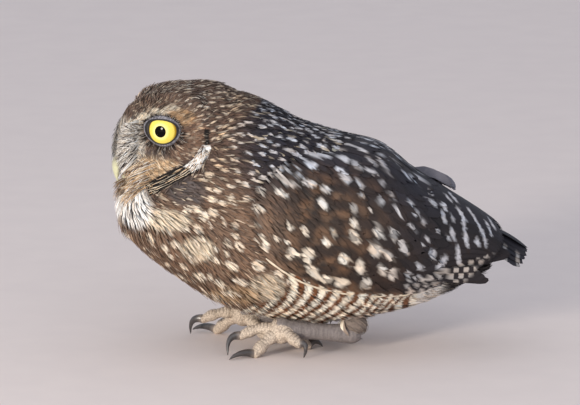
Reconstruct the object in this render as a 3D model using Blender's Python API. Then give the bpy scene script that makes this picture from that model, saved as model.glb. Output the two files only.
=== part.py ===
"""Burrowing owl, life size, crouched on flat ground with its head turned a little to its left.

The bird faces -X and its left side is at -Y. The floor is at Z = 0. Shapes are worked out in
millimetres and each finished node is brought to metres.
"""

import math

import bmesh
import bpy
from mathutils import Matrix, Vector

TO_METRES = 0.001
GAP = 0.3  # between nodes that touch
FACET_GAP = 0.9  # between faceted surfaces that follow one curve
LEFT, RIGHT = -1, 1
SIDES = (("left", LEFT), ("right", RIGHT))

# Outline of the body with its wings folded, as upright sections from breast to tail tip:
# place along X, top, underside, half width, height of the widest level.
BODY_SECTIONS = (
    (-105.5, 79.0, 69.0, 4.0, 74.0),
    (-103.0, 86.0, 62.0, 14.0, 73.5),
    (-98.0, 92.0, 55.0, 22.0, 73.0),
    (-88.0, 100.0, 46.0, 31.5, 72.0),
    (-72.0, 112.0, 34.5, 39.0, 70.0),
    (-52.0, 132.5, 24.0, 43.5, 67.0),
    (-42.0, 135.5, 20.5, 45.4, 65.5),
    (-34.0, 133.2, 17.5, 47.0, 64.0),
    (-22.0, 127.5, 16.3, 48.6, 62.8),
    (-10.0, 121.0, 15.5, 49.5, 62.0),
    (12.0, 114.0, 15.5, 49.0, 60.0),
    (24.0, 111.0, 16.5, 46.8, 58.8),
    (34.0, 106.5, 17.8, 44.5, 57.8),
    (42.0, 99.5, 19.4, 42.0, 56.9),
    (52.0, 91.8, 22.2, 38.3, 55.9),
    (66.0, 85.2, 28.5, 32.5, 55.5),
    (76.0, 81.5, 34.4, 28.6, 54.9),
    (84.0, 76.0, 39.0, 25.1, 54.0),
    (92.0, 66.0, 42.0, 21.0, 52.5),
    (104.0, 56.0, 44.0, 14.0, 49.5),
)
TORSO_END = 66.0
RUMP_END = 88.0

# Folded wing: the angle round the body of its lower and upper edge, from the widest level.
WING_EDGES = (
    (-36.0, 4.0, 18.0),
    (-30.0, -6.0, 28.0),
    (-20.0, -15.0, 41.0),
    (-8.0, -24.0, 54.0),
    (12.0, -31.0, 66.0),
    (32.0, -36.0, 79.0),
    (46.0, -38.0, 87.0),
    (66.0, -37.0, 87.5),
    (84.0, -34.0, 86.0),
    (98.0, -30.0, 82.0),
)
WING_FRONT = -34.0
WING_MARGIN = 2.5  # degrees
RUMP_BARE = 42.0  # behind this the two wings meet over the back
WING_DEPTH = 8.0  # from the outline to the body under it
PRIMARY_TOP = 5.8  # the three tiers of vanes lie at these depths under the outline
PRIMARY_FLOOR = 7.4
SECONDARY_TOP = 3.1
SECONDARY_FLOOR = 4.7
COVERT_TOP = 1.1
COVERT_FLOOR = 2.0
COVERT = 0.5  # thickness of a covert
SCAPULAR_SPAN = 22.0  # degrees round the body above the coverts
VANE = 0.6  # thickness of a flight feather

PRIMARIES, SECONDARIES = 6, 8
TAIL_ARCH = 4.0
TAIL_STEP = 1.3  # each tail feather lies this much lower than the next one inwards
COVERT_TIERS = (
    # along X of the roots, length, slant in degrees, count
    (-25.0, 16.0, -8.0, 3),
    (-12.0, 20.0, -9.0, 4),
    (5.0, 22.0, -9.0, 5),
    (23.0, 28.0, -8.0, 5),
)

# Head, in its own frame: forward, towards the bird's left, up.
HEAD_CENTRE = Vector((-67.5, 0.0, 112.0))
HEAD_TURN = math.radians(15.0)
HEAD_FRONT, HEAD_BACK, HEAD_HALF_WIDTH = 37.5, 35.0, 31.5
HEAD_UP, HEAD_DOWN = 28.8, 30.0
HEAD_TILT = 4.8  # sets the crown back
HEAD_SQUARENESS = 2.35
DISC_FACING = math.radians(46.0)
DISC_DISTANCE = 31.2
DISC_RADIUS = 21.0
DISC_HOLLOW = 2.8
DISC_RIM = 1.9
BROW_HEIGHT = 2.4
EYE_RADIUS = 10.0
EYE_PLACE = Vector((15.4, 13.8, 6.2))
EYE_FACING = math.radians(40.0)
LID_THICKNESS = 1.0
LID_HALF_WIDTH, LID_HALF_HEIGHT = 8.9, 7.3

BILL_SPACE = 0.12  # how far the bill's socket runs on behind it, as a share of its first length

# Two slanting cuts part head, neck and torso.
NECK_SLOPE = math.radians(34.5)
NECK_TOP_POINT = Vector((-100.0, 0.0, 83.0))
NECK_DEPTH = 13.0

# Bill, in the head's frame, as sections along it: forward and up of the ridge, of the edge, half width.
UPPER_BILL = (
    (30.0, -4.0, 29.0, -14.6, 5.6),
    (36.0, -5.0, 33.0, -15.4, 5.4),
    (39.4, -8.2, 35.2, -16.2, 4.6),
    (41.2, -12.2, 36.8, -17.4, 3.8),
    (41.3, -16.2, 38.0, -19.0, 2.8),
    (40.3, -19.8, 38.4, -20.9, 1.7),
    (39.0, -22.6, 38.3, -22.5, 0.5),
)
LOWER_BILL = (
    (28.0, -15.5, 27.5, -20.2, 4.6),
    (32.4, -16.3, 31.4, -20.8, 4.2),
    (34.8, -17.4, 34.0, -21.3, 3.2),
    (36.3, -18.9, 36.0, -21.3, 1.6),
)

# Feet. Places are for the left one; the right one stands further forward.
FOOT_FORWARD = {LEFT: 0.0, RIGHT: -20.0}
SOLE = Vector((-20.0, 22.0, 12.6))
SOLE_SIZE = Vector((6.9, 6.6, 7.3))
HEEL = Vector((17.0, 17.0, 9.8))
TOES = {
    # knuckles from the sole outwards, radius at each, claw tip, height of the claw's bend
    "toe_1": (((-14.0, 14.5, 8.0), (-7.0, 9.5, 2.05)), (3.3, 3.1), (1.5, 6.0, 0.55), 4.0),
    "toe_2": (((-31.0, 19.5, 15.5), (-40.5, 21.0, 9.8)), (3.3, 2.8), (-47.8, 26.5, 0.55), 1.0),
    "toe_3": (((-27.0, 25.5, 9.6), (-33.5, 29.5, 2.1)), (3.5, 3.2), (-47.0, 37.0, 0.55), 2.6),
    "toe_4": (((-17.5, 28.5, 13.0), (-11.5, 30.0, 7.6)), (3.3, 3.0), (-8.5, 32.5, 0.55), 0.6),
}
CLAW_RADIUS = 1.9
SHANK = (
    # share of the way from heel to foot, radius
    (-0.12, 2.9),
    (-0.06, 4.4),
    (0.0, 5.1),
    (0.12, 5.0),
    (0.35, 4.5),
    (0.6, 4.4),
    (0.85, 4.8),
    (1.0, 5.2),
)
SHANK_END = Vector((3.0, 0.0, 0.6))  # from the middle of the sole
SHANK_SPACE = 0.02
THIGH_LIFT = Vector((2.0, 0.0, 5.5))
THIGH_SIZE = Vector((10.5, 8.0, 8.0))

COLOURS = {
    "brown_plumage": ((0.20, 0.14, 0.10), 0.85),
    "pale_plumage": ((0.62, 0.52, 0.42), 0.85),
    "dark_vane": ((0.10, 0.07, 0.055), 0.7),
    "bill_horn": ((0.60, 0.62, 0.47), 0.4),
    "eye": ((0.85, 0.68, 0.06), 0.1),
    "foot_skin": ((0.55, 0.48, 0.42), 0.75),
    "claw": ((0.08, 0.08, 0.09), 0.4),
}


def curve_value(table, place, column):
    """Smooth value of a column at a place along the table's first column."""
    last = len(table) - 1
    place = min(max(place, table[0][0]), table[last][0])
    i = next(k for k in range(last) if place <= table[k + 1][0])
    x0, x1 = table[i][0], table[i + 1][0]
    y0, y1 = table[i][column], table[i + 1][column]

    def slope(k):
        a, b = max(k - 1, 0), min(k + 1, last)
        return (table[b][column] - table[a][column]) / (table[b][0] - table[a][0])

    span = x1 - x0
    t = (place - x0) / span
    rise, fall = t * t * (3 - 2 * t), t * (1 - t)
    return y0 + (y1 - y0) * rise + fall * span * (slope(i) * (1 - t) - slope(i + 1) * t)


def smooth_step(low, high, value):
    t = min(max((value - low) / (high - low), 0.0), 1.0)
    return t * t * (3 - 2 * t)


def outline_point(x, angle, side):
    """Point of the body's outline: angle 0 is its widest level, 90 its top, -90 its underside."""
    if x > BODY_SECTIONS[-1][0]:
        x = BODY_SECTIONS[-1][0]
    top, under, half, wide = (curve_value(BODY_SECTIONS, x, k) for k in (1, 2, 3, 4))
    a = math.radians(angle)
    reach = (top - wide) if a > 0 else (wide - under)
    return Vector((x, side * half * math.cos(a), wide + reach * math.sin(a)))


def outline_frame(x, angle, side):
    """Steps along X and round the body, and the outward normal, at a place on the outline."""
    along = (outline_point(x + 1, angle, side) - outline_point(x - 1, angle, side)) / 2
    round_it = (outline_point(x, angle + 1, side) - outline_point(x, angle - 1, side)) / 2
    normal = along.cross(round_it).normalized()
    away = outline_point(x, angle, side) - Vector((x, 0, curve_value(BODY_SECTIONS, x, 4)))
    return along, round_it, normal if normal.dot(away) > 0 else -normal


def body_point(x, angle, side, depth=0.0):
    """Point at a depth under the outline."""
    at = min(max(x, BODY_SECTIONS[0][0]), BODY_SECTIONS[-1][0])
    point = outline_point(at, angle, side) - depth * outline_frame(at, angle, side)[2]
    return point + Vector((x - at, 0, 0))


def slid(x, angle, side, shift):
    """Place on the outline that lies a small step away."""
    along, round_it, _ = outline_frame(x, angle, side)
    aa, ab, bb = along.dot(along), along.dot(round_it), round_it.dot(round_it)
    pa, pb = along.dot(shift), round_it.dot(shift)
    det = aa * bb - ab * ab
    return x + (pa * bb - pb * ab) / det, angle + (pb * aa - pa * ab) / det


def head_point(place):
    """A place in the head's frame, for the bird's left when its second number is positive."""
    c, s = math.cos(HEAD_TURN), math.sin(HEAD_TURN)
    forward, left = Vector((-c, -s, 0)), Vector((s, -c, 0))
    return HEAD_CENTRE + place[0] * forward + place[1] * left + Vector((0, 0, place[2]))


def new_object(name, bm):
    bm.normal_update()
    bmesh.ops.recalc_face_normals(bm, faces=bm.faces)
    mesh = bpy.data.meshes.new(name)
    bm.to_mesh(mesh)
    bm.free()
    obj = bpy.data.objects.new(name, mesh)
    bpy.context.scene.collection.objects.link(obj)
    return obj


def loft(name, rings):
    """Closed solid through rings of equally many points."""
    bm = bmesh.new()
    rows = [[bm.verts.new(p) for p in ring] for ring in rings]
    count = len(rows[0])
    for here, there in zip(rows, rows[1:]):
        for k in range(count):
            n = (k + 1) % count
            bm.faces.new((here[k], here[n], there[n]))
            bm.faces.new((here[k], there[n], there[k]))
    for end in (rows[0], rows[-1]):
        middle = bm.verts.new(sum((v.co for v in end), Vector()) / count)
        for k in range(count):
            bm.faces.new((end[k], end[(k + 1) % count], middle))
    return new_object(name, bm)


def tube_rings(path, radii, sides=10, squash=1.0):
    """Round sections square to a path, with their flat way up and down."""
    rings = []
    for i, point in enumerate(path):
        way = path[min(i + 1, len(path) - 1)] - path[max(i - 1, 0)]
        across = way.cross(Vector((0, 0, 1))).normalized()
        up = across.cross(way).normalized() * squash
        turns = [2 * math.pi * k / sides for k in range(sides)]
        rings.append([point + radii[i] * (math.cos(t) * across + math.sin(t) * up) for t in turns])
    return rings


def ball(name, centre, size, segments=20):
    """Round solid with three half sizes."""
    bm = bmesh.new()
    bmesh.ops.create_uvsphere(bm, u_segments=segments, v_segments=segments // 2, radius=1.0)
    place = Matrix.Translation(centre) @ Matrix.Diagonal((*size, 1.0))
    bmesh.ops.transform(bm, matrix=place, verts=bm.verts)
    return new_object(name, bm)


def evaluated_mesh(obj):
    bpy.context.view_layer.update()
    graph = bpy.context.evaluated_depsgraph_get()
    return bpy.data.meshes.new_from_object(obj.evaluated_get(graph))


def combine(base, pieces, operation, solver="MANIFOLD"):
    """One Boolean of the base with a collection of closed pieces, which are then removed."""
    group = bpy.data.collections.new(base.name + "_pieces")
    bpy.context.scene.collection.children.link(group)
    for piece in pieces:
        bpy.context.scene.collection.objects.unlink(piece)
        group.objects.link(piece)
    modifier = base.modifiers.new("combine", "BOOLEAN")
    modifier.operand_type = "COLLECTION"
    modifier.collection = group
    modifier.operation = operation
    modifier.solver = solver
    mesh = evaluated_mesh(base)
    base.modifiers.clear()
    base.data = mesh
    for piece in pieces:
        bpy.data.objects.remove(piece)
    bpy.data.collections.remove(group)
    keep_largest(base)
    return base


def keep_largest(obj):
    """Keeps only the largest closed surface, so that no scrap or sealed hollow stays."""
    bm = bmesh.new()
    bm.from_mesh(obj.data)
    bmesh.ops.remove_doubles(bm, verts=bm.verts, dist=0.002)
    left, groups = set(bm.faces), []
    while left:
        stack = [left.pop()]
        group = set(stack)
        while stack:
            for edge in stack.pop().edges:
                for face in edge.link_faces:
                    if face in left:
                        left.remove(face)
                        group.add(face)
                        stack.append(face)
        groups.append(group)
    largest = max(groups, key=lambda g: sum(f.calc_area() for f in g))
    extra = [f for g in groups if g is not largest for f in g]
    bmesh.ops.delete(bm, geom=extra, context="FACES")
    bmesh.ops.delete(bm, geom=[v for v in bm.verts if not v.link_faces], context="VERTS")
    bm.to_mesh(obj.data)
    bm.free()


def cut_below(obj, point, normal):
    """Cuts away what lies against the normal from a plane, and closes the cut."""
    bm = bmesh.new()
    bm.from_mesh(obj.data)
    bmesh.ops.triangulate(bm, faces=bm.faces)
    everything = bm.verts[:] + bm.edges[:] + bm.faces[:]
    bmesh.ops.bisect_plane(
        bm, geom=everything, dist=0.0001, plane_co=point, plane_no=normal, clear_inner=True
    )
    rim = [e for e in bm.edges if e.is_boundary]
    bmesh.ops.holes_fill(bm, edges=rim, sides=0)
    bmesh.ops.triangulate(bm, faces=[f for f in bm.faces if len(f.verts) > 3])
    bm.to_mesh(obj.data)
    bm.free()
    return obj


def copy_of(obj, name):
    twin = bpy.data.objects.new(name, obj.data.copy())
    bpy.context.scene.collection.objects.link(twin)
    return twin


def finish(obj, material, origin):
    """Brings a node to metres about its own origin, with its material, under the owl's empty."""
    place = Vector(origin)
    obj.data.transform(Matrix.Scale(TO_METRES, 4) @ Matrix.Translation(-place))
    obj.location = place * TO_METRES
    obj.data.materials.clear()
    obj.data.materials.append(material)
    obj.data.shade_smooth()
    obj.data.set_sharp_from_angle(angle=math.radians(35))
    for group in list(obj.users_collection):
        group.objects.unlink(obj)
    bpy.data.collections["burrowing_owl"].objects.link(obj)
    obj.parent = bpy.data.objects["owl"]


def make_material(name, colour, roughness):
    material = bpy.data.materials.new(name)
    material.use_nodes = True
    shader = material.node_tree.nodes["Principled BSDF"]
    shader.inputs["Base Color"].default_value = (*colour, 1.0)
    shader.inputs["Roughness"].default_value = roughness
    shader.inputs["Metallic"].default_value = 0.0
    return material


def body_ring(x, count, grow=0.0):
    """Closed upright ring round the body at one section."""
    ring = []
    for k in range(count):
        turn = 360.0 * k / count
        point = outline_point(x, 90 - abs(turn - 180), LEFT if turn < 180 else RIGHT)
        wide = curve_value(BODY_SECTIONS, x, 4)
        away = Vector((0, point.y, point.z - wide))
        ring.append(point + away.normalized() * grow)
    return ring


def make_torso_form():
    """Neck, breast, back and belly in one form."""
    start = BODY_SECTIONS[0][0]
    places = [start, start + 1.5, start + 4.5] + spaced(start + 9.0, TORSO_END, 17)
    return loft("torso", [body_ring(x, 32) for x in places])


def wing_space(side):
    """What is cut out of the torso for a folded wing."""
    low = lambda x: curve_value(WING_EDGES, x, 1) - WING_MARGIN
    high = lambda x: curve_value(WING_EDGES, x, 2) + WING_MARGIN * (1 if x < RUMP_BARE else 2.4)
    places = [WING_FRONT - 1.8] + spaced(WING_FRONT + 8.0, TORSO_END + 5.0, 10)
    top, floor = lambda x, s: -4.0, lambda x, s: WING_DEPTH + FACET_GAP
    return bed("wing_space", side, places, low, high, top, floor, 9)


def head_radius(way):
    """Distance from the head's centre to its surface along a unit vector of its own frame."""
    forward, left, up = way
    sizes = (
        HEAD_FRONT if forward > 0 else HEAD_BACK,
        HEAD_HALF_WIDTH,
        HEAD_UP if up > 0 else HEAD_DOWN,
    )
    power = HEAD_SQUARENESS if forward > 0 else 2.0
    radius = sum(abs(w / s) ** power for w, s in zip(way, sizes)) ** (-1 / power)
    radius -= HEAD_TILT * forward * max(up, 0.0)
    facing = Vector((math.cos(DISC_FACING), math.sin(DISC_FACING), -0.04))
    toward = facing.dot(Vector((forward, abs(left), up)))
    if toward > 0.05:
        flat, blend = DISC_DISTANCE / toward, 3.0
        over = radius - flat
        radius = flat + (over - math.sqrt(over * over + blend * blend)) / 2
    spot = Vector((forward, abs(left), up)) * radius
    hub = EYE_PLACE + Vector((math.cos(EYE_FACING), math.sin(EYE_FACING), 0)) * EYE_RADIUS
    across = Vector((-math.sin(DISC_FACING), math.cos(DISC_FACING), 0))
    du, dv = (spot - hub).dot(across) - 5.0, spot.z - hub.z + 3.5
    out = math.hypot(du / 1.18, dv)
    if forward > -0.25:
        shown = smooth_step(-0.25, 0.1, forward)
        radius -= shown * DISC_HOLLOW * max(0.0, 1 - (out / DISC_RADIUS) ** 2)
        radius += shown * DISC_RIM * math.exp(-(((out - DISC_RADIUS) / 2.6) ** 2))
        brow = math.exp(-(((out - 13.0) / 3.4) ** 2)) * smooth_step(2.0, 9.0, dv - 0.35 * du)
        radius += BROW_HEIGHT * brow * smooth_step(14.0, 2.0, du)
    bridge = math.exp(-((left * radius / 5.0) ** 2)) * math.exp(-(((up * radius + 7.0) / 9.0) ** 2))
    return radius + (1.6 * bridge if forward > 0 else 0.0)


def make_head_form():
    bm = bmesh.new()
    bmesh.ops.create_uvsphere(bm, u_segments=40, v_segments=24, radius=1.0)
    for vert in bm.verts:
        way = vert.co.normalized()
        vert.co = head_point(way * head_radius(way))
    return new_object("head", bm)


def lid_ring(side):
    """Upper and lower lid as one ring round the eye, wider than it is high and set on the ball."""
    centre, turns, sides = Vector((EYE_PLACE.x, side * EYE_PLACE.y, EYE_PLACE.z)), 24, 6
    axis = Vector((math.cos(EYE_FACING), side * math.sin(EYE_FACING), 0))
    across = Vector((-math.sin(EYE_FACING), side * math.cos(EYE_FACING), 0))
    up = Vector((0, 0, 1))
    bm = bmesh.new()
    rows = []
    for i in range(turns):
        t = 2 * math.pi * i / turns
        outward = math.cos(t) * LID_HALF_WIDTH * across + math.sin(t) * LID_HALF_HEIGHT * up
        height = math.sqrt(max((EYE_RADIUS + 0.2) ** 2 - outward.length_squared, 1.0))
        middle = centre + outward + height * axis
        away = outward.normalized()
        row = []
        for k in range(sides):
            s = 2 * math.pi * k / sides
            thick = LID_THICKNESS * (1.25 if math.sin(t) > 0 else 1.0)
            section = math.cos(s) * away * 1.4 + math.sin(s) * axis
            row.append(bm.verts.new(head_point(middle + thick * section)))
        rows.append(row)
    for i in range(turns):
        here, there = rows[i], rows[(i + 1) % turns]
        for k in range(sides):
            n = (k + 1) % sides
            bm.faces.new((here[k], here[n], there[n], there[k]))
    return new_object("lid", bm)


def eye_ball(name, side, grow=0.0, segments=20):
    centre = head_point(Vector((EYE_PLACE.x, side * EYE_PLACE.y, EYE_PLACE.z)))
    return ball(name, centre, Vector((1, 1, 1)) * (EYE_RADIUS + grow), segments=segments)


def bill_loft(name, sections, grow=0.0):
    """Half of the bill through oval sections, or a slightly larger cutter of it."""
    rings = []
    if grow:
        first, second = sections[0], sections[1]
        longer = tuple(a + (a - b) * BILL_SPACE for a, b in zip(first, second))
        sections = (longer,) + tuple(sections)
    for forward, up, edge_forward, edge_up, half in sections:
        ridge, edge = Vector((forward, 0, up)), Vector((edge_forward, 0, edge_up))
        middle, reach = (ridge + edge) / 2, (ridge - edge) / 2
        longer = reach * (1 + grow / reach.length) if reach.length > 0.2 else reach * (1 + grow)
        turns = [2 * math.pi * k / 12 for k in range(12)]
        rings.append(
            [
                head_point(middle + math.cos(t) * longer + Vector((0, math.sin(t) * (half + grow), 0)))
                for t in turns
            ]
        )
    return loft(name, rings)


def make_bill():
    upper, lower = bill_loft("bill_upper", UPPER_BILL), bill_loft("bill_lower", LOWER_BILL)
    nostrils = []
    for side in (LEFT, RIGHT):
        place = head_point(Vector((37.2, side * 4.4, -11.0)))
        nostrils.append(ball("nostril", place, Vector((1.4, 1.4, 0.9)), segments=10))
    combine(upper, nostrils, "DIFFERENCE")
    combine(lower, [bill_loft("upper_space", UPPER_BILL, GAP)], "DIFFERENCE")
    return upper, lower


def make_head_and_body():
    """One form, parted by two slanting cuts, with sockets for the eyes and the bill."""
    head = make_head_form()
    torso = make_torso_form()
    combine(torso, [copy_of(head, "head_copy")], "UNION")
    bpy.data.objects.remove(head)
    level = Vector((-math.sin(NECK_SLOPE), 0, math.cos(NECK_SLOPE)))
    low_point = NECK_TOP_POINT - level * NECK_DEPTH
    neck, head = copy_of(torso, "neck"), copy_of(torso, "head")
    cut_below(head, NECK_TOP_POINT + level * GAP / 2, level)
    cut_below(neck, NECK_TOP_POINT - level * GAP / 2, -level)
    cut_below(neck, low_point + level * GAP / 2, level)
    cut_below(torso, low_point - level * GAP / 2, -level)
    combine(head, [lid_ring(-1), lid_ring(1)], "UNION")
    spaces = [eye_ball("socket", side, GAP) for side in (-1, 1)]
    spaces += [bill_loft("bill_space", UPPER_BILL, GAP), bill_loft("chin_space", LOWER_BILL, GAP)]
    combine(head, spaces, "DIFFERENCE")
    keep_largest(neck)
    combine(torso, [wing_space(side) for _, side in SIDES], "DIFFERENCE")
    return head, neck, torso


def vane(name, side, root, tip, half_width, top, thickness, lift=0.0, tilt=0.0, steps=3):
    """Feather over the body's outline, as a thin closed plate with a raised shaft line.

    root and tip are places (along X, angle). top is its upper face's depth under the outline at
    the root; lift raises the tip, and tilt sets one edge higher than the other.
    """
    rows = []
    bm = bmesh.new()
    start, end = Vector(root), Vector(tip)
    for i in range(steps + 1):
        s = i / steps
        s = s ** 0.85
        x, angle = start.lerp(end, s)
        ahead = (end - start) * 0.02
        before = body_point(x - ahead.x, angle - ahead.y, side)
        forward = body_point(x + ahead.x, angle + ahead.y, side) - before
        normal = outline_frame(min(x, 104.0), angle, side)[2]
        across = normal.cross(forward).normalized() * side
        width = half_width * (0.72 + 0.5 * s - 0.1 * s * s) * math.sqrt(max(1 - s ** 5, 0.07))
        depth = top - lift * s ** 1.5
        row = []
        turned = tilt * (0.35 + 0.65 * s)
        for step, drop in ((-1, turned), (0, -0.15), (1, -turned)):
            px, pa = slid(x, angle, side, across * step * width)
            row.append((px, pa, depth + drop))
        high = [body_point(px, pa, side, d) for px, pa, d in row]
        low = [body_point(px, pa, side, d + thickness) for px, pa, d in row]
        rows.append([bm.verts.new(p) for p in high + low])
    for here, there in zip(rows, rows[1:]):
        for a, b in ((0, 1), (2, 1), (3, 4), (5, 4)):
            bm.faces.new((here[b], here[a], there[a]))
            bm.faces.new((here[b], there[a], there[b]))
        for a, b in ((0, 3), (2, 5)):
            bm.faces.new((here[b], here[a], there[a]))
            bm.faces.new((here[b], there[a], there[b]))
    for end_row in (rows[0], rows[-1]):
        bm.faces.new((end_row[0], end_row[1], end_row[4], end_row[3]))
        bm.faces.new((end_row[1], end_row[2], end_row[5], end_row[4]))
    bmesh.ops.triangulate(bm, faces=[f for f in bm.faces if len(f.verts) > 3])
    return new_object(name, bm)


def bed(name, side, places, low, high, top, floor, divisions):
    """Closed curved slab over the body, from which vanes grow.

    low and high give its edges' angles at a place along X, top and floor its two depths.
    """
    bm = bmesh.new()
    grids = []
    for depth_of in (top, floor):
        grid = []
        for x in places:
            row = []
            for k in range(divisions + 1):
                share = k / divisions
                angle = low(x) + (high(x) - low(x)) * share
                row.append(bm.verts.new(body_point(x, angle, side, depth_of(x, share))))
            grid.append(row)
        grids.append(grid)
    for grid in grids:
        for here, there in zip(grid, grid[1:]):
            for k in range(divisions):
                bm.faces.new((here[k], here[k + 1], there[k + 1]))
                bm.faces.new((here[k], there[k + 1], there[k]))
    upper, lower = grids
    last = len(places) - 1
    edges = [[(0, k) for k in range(divisions + 1)], [(last, k) for k in range(divisions + 1)]]
    edges += [[(i, 0) for i in range(last + 1)], [(i, divisions) for i in range(last + 1)]]
    for line in edges:
        for (i, k), (m, n) in zip(line, line[1:]):
            bm.faces.new((upper[i][k], upper[m][n], lower[m][n], lower[i][k]))
    bmesh.ops.triangulate(bm, faces=[f for f in bm.faces if len(f.verts) > 3])
    return new_object(name, bm)


def spaced(low, high, count):
    return [low + (high - low) * i / (count - 1) for i in range(count)]


def make_primaries(name, side):
    """Outer flight feathers, under the others, with their tips in steps towards the tail."""
    low = lambda x: curve_value(WING_EDGES, x, 1) + 1.0
    high = lambda x: low(x) + 26.0
    base = bed(
        name, side, spaced(14.0, 50.0, 5), low, high,
        lambda x, s: PRIMARY_TOP, lambda x, s: PRIMARY_FLOOR, 2,
    )
    vanes = []
    for i in range(PRIMARIES):
        root = (38.0 + 1.0 * i, low(38.0) + 5.0 + 3.4 * i)
        tip = (79.0 + 2.8 * i, low(90.0) + 1.0 + 9.0 * i)
        vanes.append(vane("primary", side, root, tip, 3.7, 6.3, VANE, 0.2, 0.8))
    return combine(base, vanes, "UNION")


def make_secondaries(name, side):
    """Inner flight feathers down to the long ones that lie over the rump."""
    low = lambda x: curve_value(WING_EDGES, x, 1) + 9.0
    high = lambda x: curve_value(WING_EDGES, x, 2)
    base = bed(
        name, side, spaced(26.0, 58.0, 4), low, high,
        lambda x, s: SECONDARY_TOP, lambda x, s: SECONDARY_FLOOR, 5,
    )
    vanes = []
    for i in range(SECONDARIES):
        share = i / (SECONDARIES - 1)
        root = (48.0 - 5.0 * share, low(48.0) + 7.0 + 102.0 * share)
        tip = (81.0 + 13.0 * math.sin(math.pi * (0.15 + 0.6 * share)), low(80.0) + 8.0 + 96.0 * share)
        vanes.append(vane("secondary", side, root, tip, 3.9, 3.6, VANE, 1.5, 0.7))
    return combine(base, vanes, "UNION")


def make_coverts(name, side):
    """Shoulder and the tiers of coverts over the roots of the flight feathers."""
    low = lambda x: curve_value(WING_EDGES, x, 1)
    high = covert_edge
    places = [WING_FRONT, -27.0, -17.0, -8.0, 2.0, 12.5, 14.0, 27.0, 40.0]

    def top(x, share):
        rim = 1 - smooth_step(0.0, 0.16, min(share, 1 - share))
        front = 1 - smooth_step(WING_FRONT, WING_FRONT + 14.0, x)
        return COVERT_TOP + (2.8 if x < 13.0 else 0.2) * max(rim, front)

    base = bed(
        name, side, places, low, high, top,
        lambda x, s: WING_DEPTH if x < 13.0 else COVERT_FLOOR, 5,
    )
    vanes = []
    for tier, (place, length, slant, count) in enumerate(COVERT_TIERS):
        for i in range(count):
            share = (i + 0.5) / count
            span = high(place) - low(place) - 3.0
            x = place - 3.0 * math.sin(math.pi * share)
            angle = low(place) + 2.0 + span * share
            girth = (body_point(x, angle + 1, side) - body_point(x, angle - 1, side)).length / 2
            half = 0.41 * girth * span / count
            tip = (x + length, angle + slant)
            vanes.append(vane("covert", side, (x, angle), tip, half, 1.35, COVERT, 1.2, 0.1, 2))
    return combine(base, vanes, "UNION")


def covert_edge(x):
    """Angle at which the coverts end below the scapulars."""
    return curve_value(WING_EDGES, x, 2) - SCAPULAR_SPAN * smooth_step(-26.0, 0.0, x)


def make_scapulars(name, side):
    """Long feathers over the join of wing and back."""
    low = lambda x: covert_edge(x) + 1.8
    high = lambda x: curve_value(WING_EDGES, x, 2)
    base = bed(
        name, side, [-17.0, -8.0, 2.0, 12.5, 14.0, 27.0, 40.0], low, high,
        lambda x, s: COVERT_TOP, lambda x, s: WING_DEPTH if x < 13.0 else COVERT_FLOOR, 3,
    )
    vanes = []
    for place, length in ((-2.0, 24.0), (22.0, 33.0)):
        for share in (0.34, 0.6, 0.85):
            angle = low(place) + (high(place) - low(place)) * share
            end = low(place + length) + (high(place + length) - low(place + length)) * share
            vanes.append(
                vane("scapular", side, (place, angle), (place + length, end), 2.5, 1.35, COVERT, 1.2, 0.1, 2)
            )
    return combine(base, vanes, "UNION")


def tail_vane(i):
    """One tail feather: the middle one lies on top and those of each side go lower step by step."""
    rank, side = abs(i), (i > 0) - (i < 0)
    reach = 1 - (rank / 5) ** 2
    root = Vector((72.0, 0, 65.0 - TAIL_STEP * rank))
    tip = Vector((103.5 + 4.3 * reach, 0, 52.0 - TAIL_STEP * rank))
    rows = []
    bm = bmesh.new()
    steps = 3
    for k in range(steps + 1):
        s = k / steps
        half = (2.4 + 1.1 * s) * math.sqrt(max(1 - s ** 6, 0.12))
        inner = 2.4 + 1.1 * s + 0.25
        middle = root.lerp(tip, s) + Vector((0, 0, TAIL_ARCH * math.sin(math.pi * s)))
        middle.y = side * (inner + (0.7 + 0.4 * s) * (rank - 1)) if rank else 0.0
        across = Vector((0, 1, -0.1 * side)).normalized() * half
        high = [middle - across, middle + Vector((0, 0, 0.2)), middle + across]
        rows.append([bm.verts.new(p) for p in high + [p - Vector((0, 0, VANE)) for p in high]])
    for here, there in zip(rows, rows[1:]):
        for a, b in ((0, 1), (2, 1), (3, 4), (5, 4), (0, 3), (2, 5)):
            bm.faces.new((here[b], here[a], there[a]))
            bm.faces.new((here[b], there[a], there[b]))
    for end_row in (rows[0], rows[-1]):
        bm.faces.new((end_row[0], end_row[1], end_row[4], end_row[3]))
        bm.faces.new((end_row[1], end_row[2], end_row[5], end_row[4]))
    bmesh.ops.triangulate(bm, faces=[f for f in bm.faces if len(f.verts) > 3])
    return new_object("tail_feather", bm)


def make_tail():
    """Rump and undertail with the tail's feathers growing from its end."""
    rings = []
    for x in spaced(TORSO_END + GAP, RUMP_END, 5):
        top, under, half, wide = (curve_value(BODY_SECTIONS, x, k) for k in (1, 2, 3, 4))
        inset = WING_DEPTH + FACET_GAP + 0.5 + 2.0 * smooth_step(76.0, RUMP_END, x)
        ring = []
        for turn in spaced(0.0, 2 * math.pi * 27 / 28, 28):
            reach = (top - inset - wide) if math.sin(turn) > 0 else (wide - under - 0.2 * inset)
            ring.append(Vector((x, (half - inset) * math.cos(turn), wide + reach * math.sin(turn))))
        rings.append(ring)
    base = loft("tail", rings)
    return combine(base, [tail_vane(i) for i in range(-5, 6)], "UNION")


def foot_place(place, side):
    return Vector((place[0] + FOOT_FORWARD[side], side * place[1], place[2]))


def on_floor(obj):
    """Cuts a sole's flat at the floor."""
    return cut_below(obj, Vector((0, 0, 0)), Vector((0, 0, 1)))


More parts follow.
